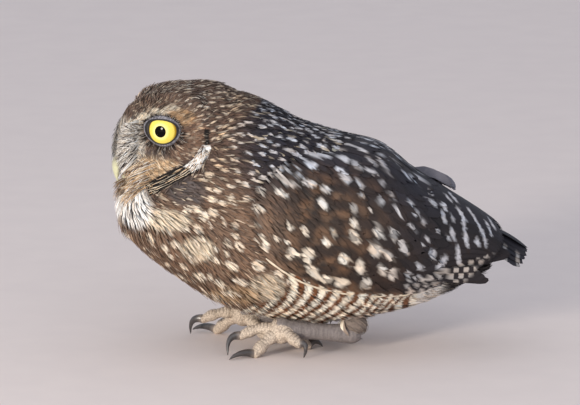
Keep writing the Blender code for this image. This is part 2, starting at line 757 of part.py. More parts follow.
def make_leg(label, side):
    """Thigh, shank, sole, toes and claws of one leg."""
    made = {}
    heel, sole = foot_place(HEEL, side), foot_place(SOLE, side)
    knee = heel + THIGH_LIFT
    thigh = ball("thigh_" + label, knee, THIGH_SIZE, segments=12)
    made["thigh_" + label] = (thigh, knee)
    way = sole + SHANK_END - heel
    path = [heel + way * t for t, _ in SHANK]
    shank = loft("shank_" + label, tube_rings(path, [r for _, r in SHANK], 12))
    made["shank_" + label] = (shank, heel)
    foot = ball("foot_" + label, sole, SOLE_SIZE, segments=14)
    made["foot_" + label] = (foot, sole)
    grown = ball("sole_space", sole, SOLE_SIZE + Vector((1, 1, 1)) * GAP, segments=14)
    combine(shank, [copy_of(grown, "sole_space_for_shank")], "DIFFERENCE")
    path[0] -= way * SHANK_SPACE
    shank_space = loft("shank_space", tube_rings(path, [r + GAP for _, r in SHANK], 12))
    stations = spaced(-60.0, 60.0, 16)
    body_space = loft("body_space", [body_ring(x, 32, GAP + 0.15) for x in stations])
    spaces = [grown, shank_space]
    combine(thigh, [copy_of(shank_space, "shank_space_for_thigh"), body_space], "DIFFERENCE")
    for toe, (knuckles, thick, tip, arch) in TOES.items():
        joints = [sole.copy()] + [foot_place(k, side) for k in knuckles]
        end = foot_place(tip, side)
        path, radii = toe_path(joints, thick)
        obj = loft(f"{toe}_{label}", tube_rings(path, radii, 8, 0.96))
        combine(obj, [copy_of(space, "space_for_toe") for space in spaces], "DIFFERENCE")
        spaces.append(loft("toe_space", tube_rings(path, [r + GAP for r in radii], 8, 0.96)))
        made[f"{toe}_{label}"] = (on_floor(obj), joints[1])
        leaving = (path[-1] - path[-2]).normalized()
        claw = claw_of(f"claw{toe[3:]}_{label}", path[-1], leaving, end, arch)
        made[f"claw{toe[3:]}_{label}"] = (claw, path[-1])
    for space in spaces:
        bpy.data.objects.remove(space)
    return made


def toe_path(joints, thick):
    """Points and radii along a toe, thicker at its pads and thinner at its joints."""
    path, radii = [], []
    first, middle, last = joints
    for k in range(8):
        t = k / 7
        point = first * (1 - t) ** 2 + 2 * middle * t * (1 - t) + last * t * t
        radius = thick[0] + (thick[1] - thick[0]) * t + 0.35 * math.cos(t * 5 * math.pi)
        path.append(point)
        radii.append(radius)
    ahead = Vector((last.x - path[-2].x, last.y - path[-2].y, 0)).normalized()
    path.append(last + ahead * 1.6)
    radii.append(thick[1] * 0.72)
    return path, radii


def claw_of(name, base, way, tip, arch):
    """Curved claw that leaves the toe's end and arches down to the floor."""
    start = base + way * GAP
    bend = start + way * 0.55 * (tip - start).length + Vector((0, 0, arch))
    path, radii = [], []
    for k in range(6):
        t = k / 5
        path.append(start * (1 - t) ** 2 + 2 * bend * t * (1 - t) + tip * t * t)
        radii.append(CLAW_RADIUS * (1 - t) ** 0.75 + 0.28)
    path[0] = start
    return loft(name, claw_rings(path, radii, way))


def claw_rings(path, radii, way):
    rings = tube_rings(path, radii, 6, 1.1)
    across = way.cross(Vector((0, 0, 1))).normalized()
    up = across.cross(way).normalized()
    turns = [2 * math.pi * k / 6 for k in range(6)]
    rings[0] = [path[0] + radii[0] * (math.cos(t) * across + math.sin(t) * up) for t in turns]
    return rings


def clear_scene():
    for obj in list(bpy.data.objects):
        bpy.data.objects.remove(obj)


def build():
    clear_scene()
    group = bpy.data.collections.new("burrowing_owl")
    bpy.context.scene.collection.children.link(group)
    group.objects.link(bpy.data.objects.new("owl", None))
    paint = {name: make_material(name, *look) for name, look in COLOURS.items()}

    head, neck, torso = make_head_and_body()
    finish(head, paint["brown_plumage"], HEAD_CENTRE)
    finish(neck, paint["pale_plumage"], (-60.0, 0.0, 95.0))
    finish(torso, paint["brown_plumage"], (-10.0, 0.0, 62.0))
    for obj in make_bill():
        finish(obj, paint["bill_horn"], head_point(Vector((32.0, 0.0, -15.0))))
    for label, side in (("left", 1), ("right", -1)):
        centre = head_point(Vector((EYE_PLACE.x, side * EYE_PLACE.y, EYE_PLACE.z)))
        finish(eye_ball("eye_" + label, side), paint["eye"], centre)
    for label, side in SIDES:
        shoulder = body_point(WING_FRONT, 20.0, side)
        finish(make_coverts("wing_coverts_" + label, side), paint["dark_vane"], shoulder)
        finish(make_secondaries("wing_secondaries_" + label, side), paint["dark_vane"], shoulder)
        finish(make_primaries("wing_primaries_" + label, side), paint["dark_vane"], shoulder)
        finish(make_scapulars("scapulars_" + label, side), paint["dark_vane"], shoulder)
        for name, (obj, origin) in make_leg(label, side).items():
            horn = name.startswith("claw")
            skin = "brown_plumage" if name.startswith("thigh") else "foot_skin"
            finish(obj, paint["claw" if horn else skin], origin)
    finish(make_tail(), paint["dark_vane"], (TORSO_END, 0.0, 60.0))


build()
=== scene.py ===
"""Looks of the burrowing owl: skin, feathers, eyes, bill, legs, floor, lights and camera.

Shapes are worked out in millimetres, in the frame of the solids: the bird faces -X, its left side is
at -Y and the floor is at Z = 0. They are brought to metres when a piece is made.
"""

import math

import bmesh
import bpy
import numpy as np
from mathutils import Matrix, Vector, noise
from mathutils.bvhtree import BVHTree
from mathutils.kdtree import KDTree


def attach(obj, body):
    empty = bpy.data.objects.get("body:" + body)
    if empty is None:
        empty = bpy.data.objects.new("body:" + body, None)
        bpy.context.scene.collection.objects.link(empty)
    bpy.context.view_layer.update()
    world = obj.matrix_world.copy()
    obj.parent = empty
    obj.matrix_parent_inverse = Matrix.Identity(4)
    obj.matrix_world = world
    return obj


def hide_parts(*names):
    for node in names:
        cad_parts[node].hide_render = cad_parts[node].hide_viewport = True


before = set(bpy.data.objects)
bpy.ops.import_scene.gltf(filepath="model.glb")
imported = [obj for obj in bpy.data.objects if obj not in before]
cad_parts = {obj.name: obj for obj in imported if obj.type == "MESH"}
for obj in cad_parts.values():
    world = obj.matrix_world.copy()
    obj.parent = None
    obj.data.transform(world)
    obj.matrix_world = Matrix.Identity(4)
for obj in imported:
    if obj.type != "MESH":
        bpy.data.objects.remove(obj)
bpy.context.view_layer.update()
MM = 0.001
FAR_AWAY = 99.0
LEFT, RIGHT = -1, 1
SIDES = (("left", LEFT), ("right", RIGHT))
rng = np.random.default_rng(11)

# Outline of the body with its wings folded: place along X, top, underside, half width, widest level.
BODY_SECTIONS = (
    (-105.5, 79.0, 69.0, 4.0, 74.0),
    (-103.0, 86.0, 62.0, 14.0, 73.5),
    (-98.0, 92.0, 55.0, 22.0, 73.0),
    (-88.0, 100.0, 46.0, 31.5, 72.0),
    (-72.0, 112.0, 34.5, 39.0, 70.0),
    (-52.0, 132.5, 24.0, 43.5, 67.0),
    (-42.0, 135.5, 20.5, 45.4, 65.5),
    (-34.0, 133.2, 17.5, 47.0, 64.0),
    (-22.0, 127.5, 16.3, 48.6, 62.8),
    (-10.0, 121.0, 15.5, 49.5, 62.0),
    (12.0, 114.0, 15.5, 49.0, 60.0),
    (24.0, 111.0, 16.5, 46.8, 58.8),
    (34.0, 106.5, 17.8, 44.5, 57.8),
    (42.0, 99.5, 19.4, 42.0, 56.9),
    (52.0, 91.8, 22.2, 38.3, 55.9),
    (66.0, 85.2, 28.5, 32.5, 55.5),
    (76.0, 81.5, 34.4, 28.6, 54.9),
    (84.0, 76.0, 39.0, 25.1, 54.0),
    (92.0, 66.0, 42.0, 21.0, 52.5),
    (104.0, 56.0, 44.0, 14.0, 49.5),
)
FIRST_X, LAST_X = BODY_SECTIONS[0][0], BODY_SECTIONS[-1][0]
RUMP_END = 88.0

# Folded wing: the angle round the body of its lower and upper edge, from the widest level.
WING_EDGES = (
    (-36.0, 4.0, 18.0),
    (-30.0, -6.0, 28.0),
    (-20.0, -15.0, 41.0),
    (-8.0, -24.0, 54.0),
    (12.0, -31.0, 66.0),
    (32.0, -36.0, 79.0),
    (46.0, -38.0, 87.0),
    (66.0, -37.0, 87.5),
    (84.0, -34.0, 86.0),
    (98.0, -30.0, 82.0),
)
WING_FRONT = -34.0
SCAPULAR_SPAN = 22.0
COAT_DEPTH = 2.1  # from the outline to the skin
FACE_DEPTH = 1.3
UNDER_WING = 8.4

# Head, in its own frame: forward, towards the bird's left, up.
HEAD_CENTRE = Vector((-67.5, 0.0, 112.0))
HEAD_TURN = math.radians(15.0)
HEAD_COS, HEAD_SIN = math.cos(HEAD_TURN), math.sin(HEAD_TURN)
HEAD_FORWARD, HEAD_LEFT = Vector((-HEAD_COS, -HEAD_SIN, 0)), Vector((HEAD_SIN, -HEAD_COS, 0))
HEAD_SIDES = (("left", 1), ("right", -1))  # its own frame counts the left as positive
HEAD_FRONT, HEAD_BACK, HEAD_HALF_WIDTH = 37.5, 35.0, 31.5
HEAD_UP, HEAD_DOWN = 28.8, 30.0
HEAD_TILT = 4.8  # sets the crown back
HEAD_SQUARENESS = 2.35
DISC_FACING = math.radians(46.0)
DISC_DISTANCE = 31.2
DISC_RADIUS = 21.0
DISC_HOLLOW = 2.8
DISC_RIM = 1.9
BROW_HEIGHT = 2.4
EYE_RADIUS = 10.0
EYE_PLACE = Vector((15.4, 13.8, 6.2))
EYE_FACING = math.radians(40.0)  # the disc is set out from here
EYE_HUB = EYE_PLACE + Vector((math.cos(EYE_FACING), math.sin(EYE_FACING), 0)) * EYE_RADIUS
EYE_LOOK = math.radians(53.0)  # way the eye itself looks
NECK_SLOPE = math.radians(34.5)
NECK_UP = (-math.sin(NECK_SLOPE), 0, math.cos(NECK_SLOPE))
NECK_TOP_POINT = Vector((-100.0, 0.0, 83.0))
FOREHEAD = Vector((37.0, 0.0, -3.0))  # feathers of the head lie away from here

# Middle and half sizes of the balls that the coats' roots are mapped round.
HEAD_MAP = (HEAD_CENTRE, Vector((36, 31, 30)))
BODY_MAP = (Vector((-10, 0, 62)), Vector((100, 48, 60)))
WING_MAP = (Vector((0, 0, 62)), Vector((110, 50, 60)))
TAIL_MAP = (Vector((0, 0, 60)), Vector((110, 50, 60)))

# Bill, in the head's frame: forward and up of the ridge, forward and up of the edge, half width.
UPPER_BILL = (
    (30.0, -4.0, 29.0, -14.6, 5.6),
    (36.0, -5.0, 33.0, -15.4, 5.4),
    (39.4, -8.2, 35.2, -16.2, 4.6),
    (41.2, -12.2, 36.8, -17.4, 3.8),
    (41.3, -16.2, 38.0, -19.0, 2.8),
    (40.3, -19.8, 38.4, -20.9, 1.7),
    (39.0, -22.6, 38.3, -22.5, 0.5),
)
LOWER_BILL = (
    (28.0, -15.5, 27.5, -20.2, 4.6),
    (32.4, -16.3, 31.4, -20.8, 4.2),
    (34.8, -17.4, 34.0, -21.3, 3.2),
    (36.3, -18.9, 36.0, -21.3, 1.6),
)

# Feet. Places are for the left one; the right one stands further forward.
FOOT_FORWARD = {LEFT: 0.0, RIGHT: -20.0}
SOLE = Vector((-20.0, 22.0, 12.6))
SOLE_SIZE = Vector((6.9, 6.6, 7.3))
HEEL = Vector((17.0, 17.0, 9.8))
TOES = {
    # knuckles from the sole outwards, radius at each, claw tip, height of the claw's bend
    "1": (((-14.0, 14.5, 8.0), (-7.0, 9.5, 2.05)), (3.3, 3.1), (1.5, 6.0, 0.55), 4.0),
    "2": (((-31.0, 19.5, 15.5), (-40.5, 21.0, 9.8)), (3.3, 2.8), (-47.8, 26.5, 0.55), 1.0),
    "3": (((-27.0, 25.5, 9.6), (-33.5, 29.5, 2.1)), (3.5, 3.2), (-47.0, 37.0, 0.55), 2.6),
    "4": (((-17.5, 28.5, 13.0), (-11.5, 30.0, 7.6)), (3.3, 3.0), (-8.5, 32.5, 0.55), 0.6),
}
CLAW_RADIUS = 1.9
SHANK = (
    # share of the way from heel to sole, radius
    (-0.12, 2.9),
    (-0.06, 4.4),
    (0.0, 5.1),
    (0.12, 5.0),
    (0.35, 4.5),
    (0.6, 4.4),
    (0.85, 4.8),
    (1.0, 5.2),
)
SHANK_END = Vector((3.0, 0.0, 0.6))  # from the middle of the sole
SCUTE_STEP, SCUTE_DEPTH, PAD_RISE = 1.7, 0.34, 0.12  # folds across the toes, bumps under them
THIGH_LIFT = Vector((2.0, 0.0, 5.5))
THIGH_SIZE = Vector((10.5, 8.0, 8.0))


def linear(red, green, blue):
    """Scene colour from screen values of 0 to 255."""
    return tuple(
        c / 12.92 if c <= 0.04045 else ((c + 0.055) / 1.055) ** 2.4
        for c in (red / 255, green / 255, blue / 255)
    )


# Feather colours.
CROWN = linear(104, 85, 74)
CROWN_MARK = linear(206, 192, 176)
NAPE = linear(92, 73, 63)
NAPE_MARK = linear(196, 174, 150)
# Back and its spots: their own brown and white, painted darker and bluish as shade.
BACK = linear(42, 39, 46)
BACK_MARK = linear(196, 194, 198)
BREAST = linear(120, 96, 79)
BREAST_DARK = linear(74, 54, 44)
BREAST_MARK = linear(224, 208, 188)
BARS_PALE = linear(236, 226, 208)
BARS_BROWN = linear(112, 72, 46)
BARS_EDGE = linear(52, 34, 26)
VENT = linear(226, 218, 208)
WHITE = linear(240, 237, 233)
OCHRE = linear(172, 140, 106)
BUFF = linear(200, 168, 132)
EAR = linear(116, 90, 74)
LORE = linear(190, 182, 172)
BROW = linear(222, 210, 190)
CREAM = linear(226, 210, 186)
DARK = linear(46, 38, 35)
BLACK = linear(22, 18, 17)
GREY = linear(84, 76, 74)
CHECKS = linear(176, 168, 162)
HEEL_TINT = linear(140, 126, 116)
# Wing: dark brown of its own, painted darker still as shade; its brown mottle and pale marks are its own.
WING = linear(50, 39, 33)
WING_BROWN = linear(96, 72, 54)
WING_MARK = linear(216, 204, 188)
# Flight feathers and tail: dark brown of their own, painted nearly black and bluish as shade; the flight
# marks are bluish for the same painted shade.
FLIGHT = linear(36, 32, 35)
FLIGHT_MARK = linear(176, 176, 182)
TAIL = linear(38, 36, 42)
TAIL_MARK = linear(176, 168, 162)


# ---- surfaces of the body and head, from the same values as the solids ----


def curve_value(table, place, column):
    """Smooth value of a column at a place along the table's first column."""
    last = len(table) - 1
    place = min(max(place, table[0][0]), table[last][0])
    i = next(k for k in range(last) if place <= table[k + 1][0])
    x0, x1 = table[i][0], table[i + 1][0]
    y0, y1 = table[i][column], table[i + 1][column]

    def slope(k):
        a, b = max(k - 1, 0), min(k + 1, last)
        return (table[b][column] - table[a][column]) / (table[b][0] - table[a][0])

    span = x1 - x0
    t = (place - x0) / span
    rise, fall = t * t * (3 - 2 * t), t * (1 - t)
    return y0 + (y1 - y0) * rise + fall * span * (slope(i) * (1 - t) - slope(i + 1) * t)


def smooth_step(low, high, value):
    t = min(max((value - low) / (high - low), 0.0), 1.0)
    return t * t * (3 - 2 * t)


def spaced(low, high, count):
    return [low + (high - low) * i / (count - 1) for i in range(count)]


def outline_point(x, angle, side):
    """Point of the body's outline: angle 0 is its widest level, 90 its top, -90 its underside."""
    x = min(x, LAST_X)
    top, under, half, wide = (curve_value(BODY_SECTIONS, x, k) for k in (1, 2, 3, 4))
    a = math.radians(angle)
    reach = (top - wide) if a > 0 else (wide - under)
    return Vector((x, side * half * math.cos(a), wide + reach * math.sin(a)))


def outline_frame(x, angle, side):
    """Steps along X and round the body, and the outward normal, at a place on the outline."""
    along = (outline_point(x + 1, angle, side) - outline_point(x - 1, angle, side)) / 2
    round_it = (outline_point(x, angle + 1, side) - outline_point(x, angle - 1, side)) / 2
    normal = along.cross(round_it).normalized()
    away = outline_point(x, angle, side) - Vector((x, 0, curve_value(BODY_SECTIONS, x, 4)))
    return along, round_it, normal if normal.dot(away) > 0 else -normal


def body_point(x, angle, side, depth=0.0):
    """Point at a depth under the outline."""
    at = min(max(x, FIRST_X), LAST_X)
    point = outline_point(at, angle, side) - depth * outline_frame(at, angle, side)[2]
    return point + Vector((x - at, 0, 0))


def round_angle(point):
    """Angle round the body of a point near its outline."""
    top, under, half, wide = (curve_value(BODY_SECTIONS, point.x, k) for k in (1, 2, 3, 4))
    rise = point.z - wide
    reach = (top - wide) if rise > 0 else (wide - under)
    return math.degrees(math.atan2(rise / reach, abs(point.y) / half))


def wing_cover(x, angle):
    """1 well inside the folded wing, 0 outside it."""
    low, high = curve_value(WING_EDGES, x, 1), curve_value(WING_EDGES, x, 2)
    inside = smooth_step(low - 2.0, low + 5.0, angle) * smooth_step(high + 2.0, high - 5.0, angle)
    if x > 42.0:
        inside = smooth_step(low - 2.0, low + 5.0, angle)
    return inside * smooth_step(WING_FRONT - 2.0, WING_FRONT + 6.0, x)


def head_point(place):
    """A place in the head's frame."""
    return HEAD_CENTRE + place[0] * HEAD_FORWARD + place[1] * HEAD_LEFT + Vector((0, 0, place[2]))


def on_side(place, side):
    """A place of the head's left half, on its left, 1, or mirrored to its right, -1."""
    return head_point(Vector((place[0], side * place[1], place[2])))


def in_head(point):
    """The head's own coordinates of a point."""
    away = point - HEAD_CENTRE
    return Vector((away.dot(HEAD_FORWARD), away.dot(HEAD_LEFT), away.z))


def head_side(place):
    """Side of the head that a place of its own frame is on."""
    return 1 if place.y > 0 else -1


def head_radius(way):
    """Distance from the head's centre to its surface along a unit vector of its own frame."""
    forward, left, up = way
    sizes = (
        HEAD_FRONT if forward > 0 else HEAD_BACK,
        HEAD_HALF_WIDTH,
        HEAD_UP if up > 0 else HEAD_DOWN,
    )
    power = HEAD_SQUARENESS if forward > 0 else 2.0
    radius = sum(abs(w / s) ** power for w, s in zip(way, sizes)) ** (-1 / power)
    radius -= HEAD_TILT * forward * max(up, 0.0)
    facing = Vector((math.cos(DISC_FACING), math.sin(DISC_FACING), -0.04))
    toward = facing.dot(Vector((forward, abs(left), up)))
    if toward > 0.05:
        flat, blend = DISC_DISTANCE / toward, 3.0
        over = radius - flat
        radius = flat + (over - math.sqrt(over * over + blend * blend)) / 2
    spot = Vector((forward, abs(left), up)) * radius
    across = Vector((-math.sin(DISC_FACING), math.cos(DISC_FACING), 0))
    du, dv = (spot - EYE_HUB).dot(across) - 5.0, spot.z - EYE_HUB.z + 3.5
    out = math.hypot(du / 1.18, dv)
    if forward > -0.25:
        shown = smooth_step(-0.25, 0.1, forward)
        radius -= shown * DISC_HOLLOW * max(0.0, 1 - (out / DISC_RADIUS) ** 2)
        radius += shown * DISC_RIM * math.exp(-(((out - DISC_RADIUS) / 2.6) ** 2))
        brow = math.exp(-(((out - 13.0) / 3.4) ** 2)) * smooth_step(2.0, 9.0, dv - 0.35 * du)
        radius += BROW_HEIGHT * brow * smooth_step(14.0, 2.0, du)
    bridge = math.exp(-((left * radius / 5.0) ** 2)) * math.exp(-(((up * radius + 7.0) / 9.0) ** 2))
    return radius + (1.6 * bridge if forward > 0 else 0.0)


# ---- mesh helpers ----


def new_piece(name, bm, recalc=True):
    """Piece in metres from a bmesh in millimetres."""
    bmesh.ops.transform(bm, matrix=Matrix.Scale(MM, 4), verts=bm.verts)
    bm.normal_update()
    if recalc:
        bmesh.ops.recalc_face_normals(bm, faces=bm.faces)
    mesh = bpy.data.meshes.new(name)
    bm.to_mesh(mesh)
    bm.free()
    piece = bpy.data.objects.new(name, mesh)
    bpy.context.scene.collection.objects.link(piece)
    mesh.shade_smooth()
    return piece


def add_loft(bm, rings):
    """Closed solid through rings of equally many points, bridged one to the next."""
    loops = []
    for ring in rings:
        verts = [bm.verts.new(p) for p in ring]
        loops.append([bm.edges.new((a, b)) for a, b in zip(verts, verts[1:] + verts[:1])])
    for here, there in zip(loops, loops[1:]):
        bmesh.ops.bridge_loops(bm, edges=here + there)
    for end in (loops[0], loops[-1]):
        bmesh.ops.contextual_create(bm, geom=end)
    return bm


def applied(piece):
    """Applies the piece's modifiers."""
    bpy.context.view_layer.update()
    graph = bpy.context.evaluated_depsgraph_get()
    mesh = bpy.data.meshes.new_from_object(piece.evaluated_get(graph))
    piece.modifiers.clear()
    piece.data = mesh
    return piece


def fused(piece, voxel, rounds=3, factor=0.6):
    """Makes one even skin of solids that pass through each other, and smooths it."""
    remesh = piece.modifiers.new("fuse", "REMESH")
    remesh.mode = "VOXEL"
    remesh.voxel_size = voxel * MM
    smooth = piece.modifiers.new("smooth", "SMOOTH")
    smooth.factor = factor
    smooth.iterations = rounds
    applied(piece)
    piece.data.shade_smooth()
    return piece


def carved(piece, name, holes, solver):
    """Cuts the holes out of a piece, and leaves it without a material."""
    cutter = new_piece(name, holes)
    cut = piece.modifiers.new("cut", "BOOLEAN")
    cut.operation, cut.object, cut.solver = "DIFFERENCE", cutter, solver
    applied(piece)
    bpy.data.objects.remove(cutter)
    piece.data.shade_smooth()
    piece.data.materials.clear()


def bent(first, middle, last, t):
    """Point of a curve from the first to the last, drawn towards the middle."""
    return first * (1 - t) ** 2 + 2 * middle * t * (1 - t) + last * t * t


def tube_rings(path, radii, sides=16, squash=1.0):
    """Round sections square to a path, with their flat way up and down."""
    rings = []
    for i, point in enumerate(path):
        way = path[min(i + 1, len(path) - 1)] - path[max(i - 1, 0)]
        across = way.cross(Vector((0, 0, 1))).normalized()
        up = across.cross(way).normalized() * squash
        turns = [2 * math.pi * k / sides for k in range(sides)]
        rings.append([point + radii[i] * (math.cos(t) * across + math.sin(t) * up) for t in turns])
    return rings


def add_ball(bm, centre, size, segments=32):
    place = Matrix.Translation(centre) @ Matrix.Diagonal((*size, 1.0))
    bmesh.ops.create_uvsphere(
        bm, u_segments=segments, v_segments=segments // 2, radius=1.0, matrix=place
    )


def set_attribute(mesh, name, kind, values):
    """Writes one value for each point."""
    made = mesh.attributes.new(name, kind, "POINT")
    made.data.foreach_set("color" if kind == "FLOAT_COLOR" else "vector", np.ravel(values))


# ---- materials ----


def node_maker(tree):
    """Short way to add and link nodes of one tree."""

    def make(kind, values=None, **settings):
        node = tree.nodes.new(kind)
        for key, value in settings.items():
            setattr(node, key, value)
        for key, value in (values or {}).items():
            socket = node.inputs[key]
            if isinstance(value, bpy.types.NodeSocket):
                tree.links.new(value, socket)
            else:
                socket.default_value = value
        return node

    return make


def math_of(make):
    def calculate(operation, *values, clamp=False):
        node = make("ShaderNodeMath", dict(enumerate(values)), operation=operation, use_clamp=clamp)
        return node.outputs[0]

    return calculate


def object_place(make):
    """Place on the piece, in metres."""
    return make("ShaderNodeTexCoord").outputs["Object"]


def map_parts(make, uv_map):
    """Both parts of a place on one of the piece's own maps."""
    place = make("ShaderNodeUVMap", uv_map=uv_map).outputs[0]
    return make("ShaderNodeSeparateXYZ", {0: place}).outputs


def joined(make, *parts):
    """One place of three parts."""
    return make("ShaderNodeCombineXYZ", dict(enumerate(parts))).outputs[0]


def noise_at(make, place, scale, detail):
    """Noise of about 0 to 1."""
    node = make("ShaderNodeTexNoise", {"Vector": place, "Scale": scale, "Detail": detail})
    return node.outputs["Fac"]


def pebbles_at(make, place, scale):
    """Small round bumps: 0 in their middles, more between them."""
    return make("ShaderNodeTexVoronoi", {"Vector": place, "Scale": scale}).outputs["Distance"]


def soft_step(make, value, low, high):
    """0 under low, 1 over high, smooth between."""
    values = {"Value": value, "From Min": low, "From Max": high, "To Min": 0.0, "To Max": 1.0}
    node = make("ShaderNodeMapRange", values, interpolation_type="SMOOTHSTEP")
    return node.outputs["Result"]


def blended(make, factor, first, second, mode="MIX"):
    node = make("ShaderNodeMix", data_type="RGBA", blend_type=mode)
    for key, value in ((0, factor), (6, first), (7, second)):
        socket = node.inputs[key]
        if isinstance(value, bpy.types.NodeSocket):
            node.id_data.links.new(value, socket)
        else:
            socket.default_value = (*value, 1.0) if key and len(value) == 3 else value
    return node.outputs[2]


def new_group(name, inputs, outputs):
    group = bpy.data.node_groups.new(name, "ShaderNodeTree")
    for label, kind in inputs:
        group.interface.new_socket(label, in_out="INPUT", socket_type=kind)
    for label, kind in outputs:
        group.interface.new_socket(label, in_out="OUTPUT", socket_type=kind)
    return group, group.nodes.new("NodeGroupInput"), group.nodes.new("NodeGroupOutput")


def barb_group():
    """Fine slanting barbs and the shaft of one feather."""
    number = "NodeSocketFloat"
    group, given, out = new_group(
        "Feather barbs", (("Across", number), ("Along", number)), (("Height", number), ("Shade", number))
    )
    make = node_maker(group)
    calc = math_of(make)
    side = calc("ABSOLUTE", given.outputs["Across"])
    slant = calc("SUBTRACT", calc("MULTIPLY", given.outputs["Along"], 26.0), calc("MULTIPLY", side, 7.0))
    line = calc("ABSOLUTE", calc("SUBTRACT", calc("FRACT", slant), 0.5))
    shaft = calc("SUBTRACT", 1.0, soft_step(make, side, 0.02, 0.09))
    height = calc("ADD", calc("MULTIPLY", line, 0.5), calc("MULTIPLY", shaft, 0.6))
    group.links.new(height, out.inputs["Height"])
    group.links.new(calc("ADD", calc("MULTIPLY", line, 0.36), 0.91), out.inputs["Shade"])
    return group


def fray_group():
    """Uneven barbs: a noise drawn out along them, which frays the edges of marks."""
    number, vector = "NodeSocketFloat", "NodeSocketVector"
    group, given, out = new_group(
        "Feather fray", (("Across", number), ("Along", number), ("Place", vector)), (("Fray", number),)
    )
    make = node_maker(group)
    calc = math_of(make)
    side = calc("ABSOLUTE", given.outputs["Across"])
    slant = calc("SUBTRACT", calc("MULTIPLY", given.outputs["Along"], 16.0), calc("MULTIPLY", side, 6.0))
    flat = joined(make, slant, calc("MULTIPLY", given.outputs["Across"], 2.2), 0.0)
    apart = {0: given.outputs["Place"], 1: (350.0, 350.0, 350.0)}  # so that no two feathers are alike
    far = make("ShaderNodeVectorMath", apart, operation="MULTIPLY")
    both = make("ShaderNodeVectorMath", {0: flat, 1: far.outputs[0]}, operation="ADD")
    group.links.new(noise_at(make, both.outputs[0], 1.0, 2.0), out.inputs["Fray"])
    return group


BARBS, FRAY = barb_group(), fray_group()


def new_material(name, roughness, **settings):
    material = bpy.data.materials.new(name)
    material.use_nodes = True
    shader = material.node_tree.nodes["Principled BSDF"]
    shader.inputs["Roughness"].default_value = roughness
    for key, value in settings.items():
        shader.inputs[key.replace("_", " ")].default_value = value
    return material, shader, node_maker(material.node_tree)


def painted(shader, colour):
    """Colours a material by a node's output."""
    shader.id_data.links.new(colour, shader.inputs["Base Color"])


def bumped(make, shader, height, strength, distance):
    bump = make("ShaderNodeBump", {"Strength": strength, "Distance": distance, "Height": height})
    shader.id_data.links.new(bump.outputs[0], shader.inputs["Normal"])


def feather_material(name, roughness=0.72, root_shade=0.45, frayed=0.7):
    """Feathers: the tint of each place, uneven barbs and shaded roots."""
    material, shader, make = new_material(name, roughness, Specular_IOR_Level=0.25)
    calc = math_of(make)
    across, along = map_parts(make, "vane")[:2]
    objects = object_place(make)
    fray, barbs = make("ShaderNodeGroup", node_tree=FRAY), make("ShaderNodeGroup", node_tree=BARBS)
    for group in (fray, barbs):
        for key, value in (("Across", across), ("Along", along)):
            material.node_tree.links.new(value, group.inputs[key])
    material.node_tree.links.new(objects, fray.inputs["Place"])
    tint = make("ShaderNodeAttribute", attribute_name="tint").outputs["Color"]
    rooted = calc("MULTIPLY", soft_step(make, along, 0.1, 0.75), root_shade)
    shade = calc("MULTIPLY", calc("ADD", rooted, 1 - root_shade), barbs.outputs["Shade"])
    mottle = noise_at(make, objects, 160.0, 2.0)
    for value, swing in ((mottle, 0.4), (fray.outputs["Fray"], frayed)):
        shade = calc("MULTIPLY", shade, calc("ADD", calc("MULTIPLY", value, swing), 1 - swing / 2))
    painted(shader, blended(make, 1.0, tint, joined(make, shade, shade, shade), "MULTIPLY"))
    bumped(make, shader, barbs.outputs["Height"], 0.5, 0.0002)
    return material


def skin_material():
    """Skin between the feathers, in the coat's own colours, darker and downy."""
    material, shader, make = new_material("owl_skin", 0.9)
    tint = make("ShaderNodeAttribute", attribute_name="tint").outputs["Color"]
    down = noise_at(make, object_place(make), 700.0, 4.0)
    dark = blended(make, 1.0, tint, (0.42, 0.4, 0.4), "MULTIPLY")
    painted(shader, blended(make, down, dark, tint))
    bumped(make, shader, down, 0.6, 0.0008)
    return material


def eye_material():
    """Yellow iris with fine rays, paler round the pupil as a painted light, round black pupil and a dark
    rim, under a wet clear coat.
    """
    material, shader, make = new_material(
        "owl_eye", 0.35, Coat_Weight=1.0, Coat_Roughness=0.03, Coat_IOR=1.2, Specular_IOR_Level=0.0
    )
    calc = math_of(make)
    out, turn = map_parts(make, "iris")[:2]
    flat = joined(make, calc("MULTIPLY", turn, 60.0), calc("MULTIPLY", out, 4.0), 0.0)
    rays = noise_at(make, flat, 1.6, 3.0)
    yellow = blended(make, rays, linear(216, 190, 66), linear(236, 222, 118))
    # paler towards the pupil: a painted light on the iris
    near = calc("SUBTRACT", 1.0, soft_step(make, out, 0.4, 0.62))
    lit = blended(make, near, yellow, linear(238, 228, 144))
    rim = blended(make, soft_step(make, out, 0.82, 0.97), lit, linear(158, 120, 24))
    dark = blended(make, soft_step(make, out, 0.99, 1.03), rim, linear(8, 7, 7))
    pupil = calc("SUBTRACT", 1.0, soft_step(make, out, 0.345, 0.375))
    painted(shader, blended(make, pupil, dark, linear(4, 4, 4)))
    return material


def lid_material():
    """Grey pebbled skin of the lids, nearly black along the edge that meets the eye."""
    material, shader, make = new_material("owl_lid", 0.62)
    out = map_parts(make, "lid")[0]
    pebbles = pebbles_at(make, object_place(make), 1000.0)
    grey = blended(make, pebbles, linear(150, 148, 156), linear(46, 42, 48))
    edged = blended(make, soft_step(make, out, 0.3, 0.42), linear(18, 15, 15), grey)
    painted(shader, blended(make, soft_step(make, out, 0.58, 0.72), edged, linear(52, 45, 43)))
    bumped(make, shader, pebbles, 0.6, 0.0003)
    return material


def bill_material():
    """Pale greenish horn, browner at its root over the nostrils."""
    material, shader, make = new_material("owl_bill", 0.38, Coat_Weight=0.25, Coat_Roughness=0.25)
    objects = object_place(make)
    height = make("ShaderNodeSeparateXYZ", {0: objects}).outputs[2]
    grain = noise_at(make, objects, 420.0, 4.0)
    horn = blended(make, grain, linear(176, 176, 140), linear(214, 212, 178))
    painted(shader, blended(make, soft_step(make, height, 0.096, 0.104), horn, linear(128, 120, 104)))
    bumped(make, shader, grain, 0.25, 0.0003)
    return material


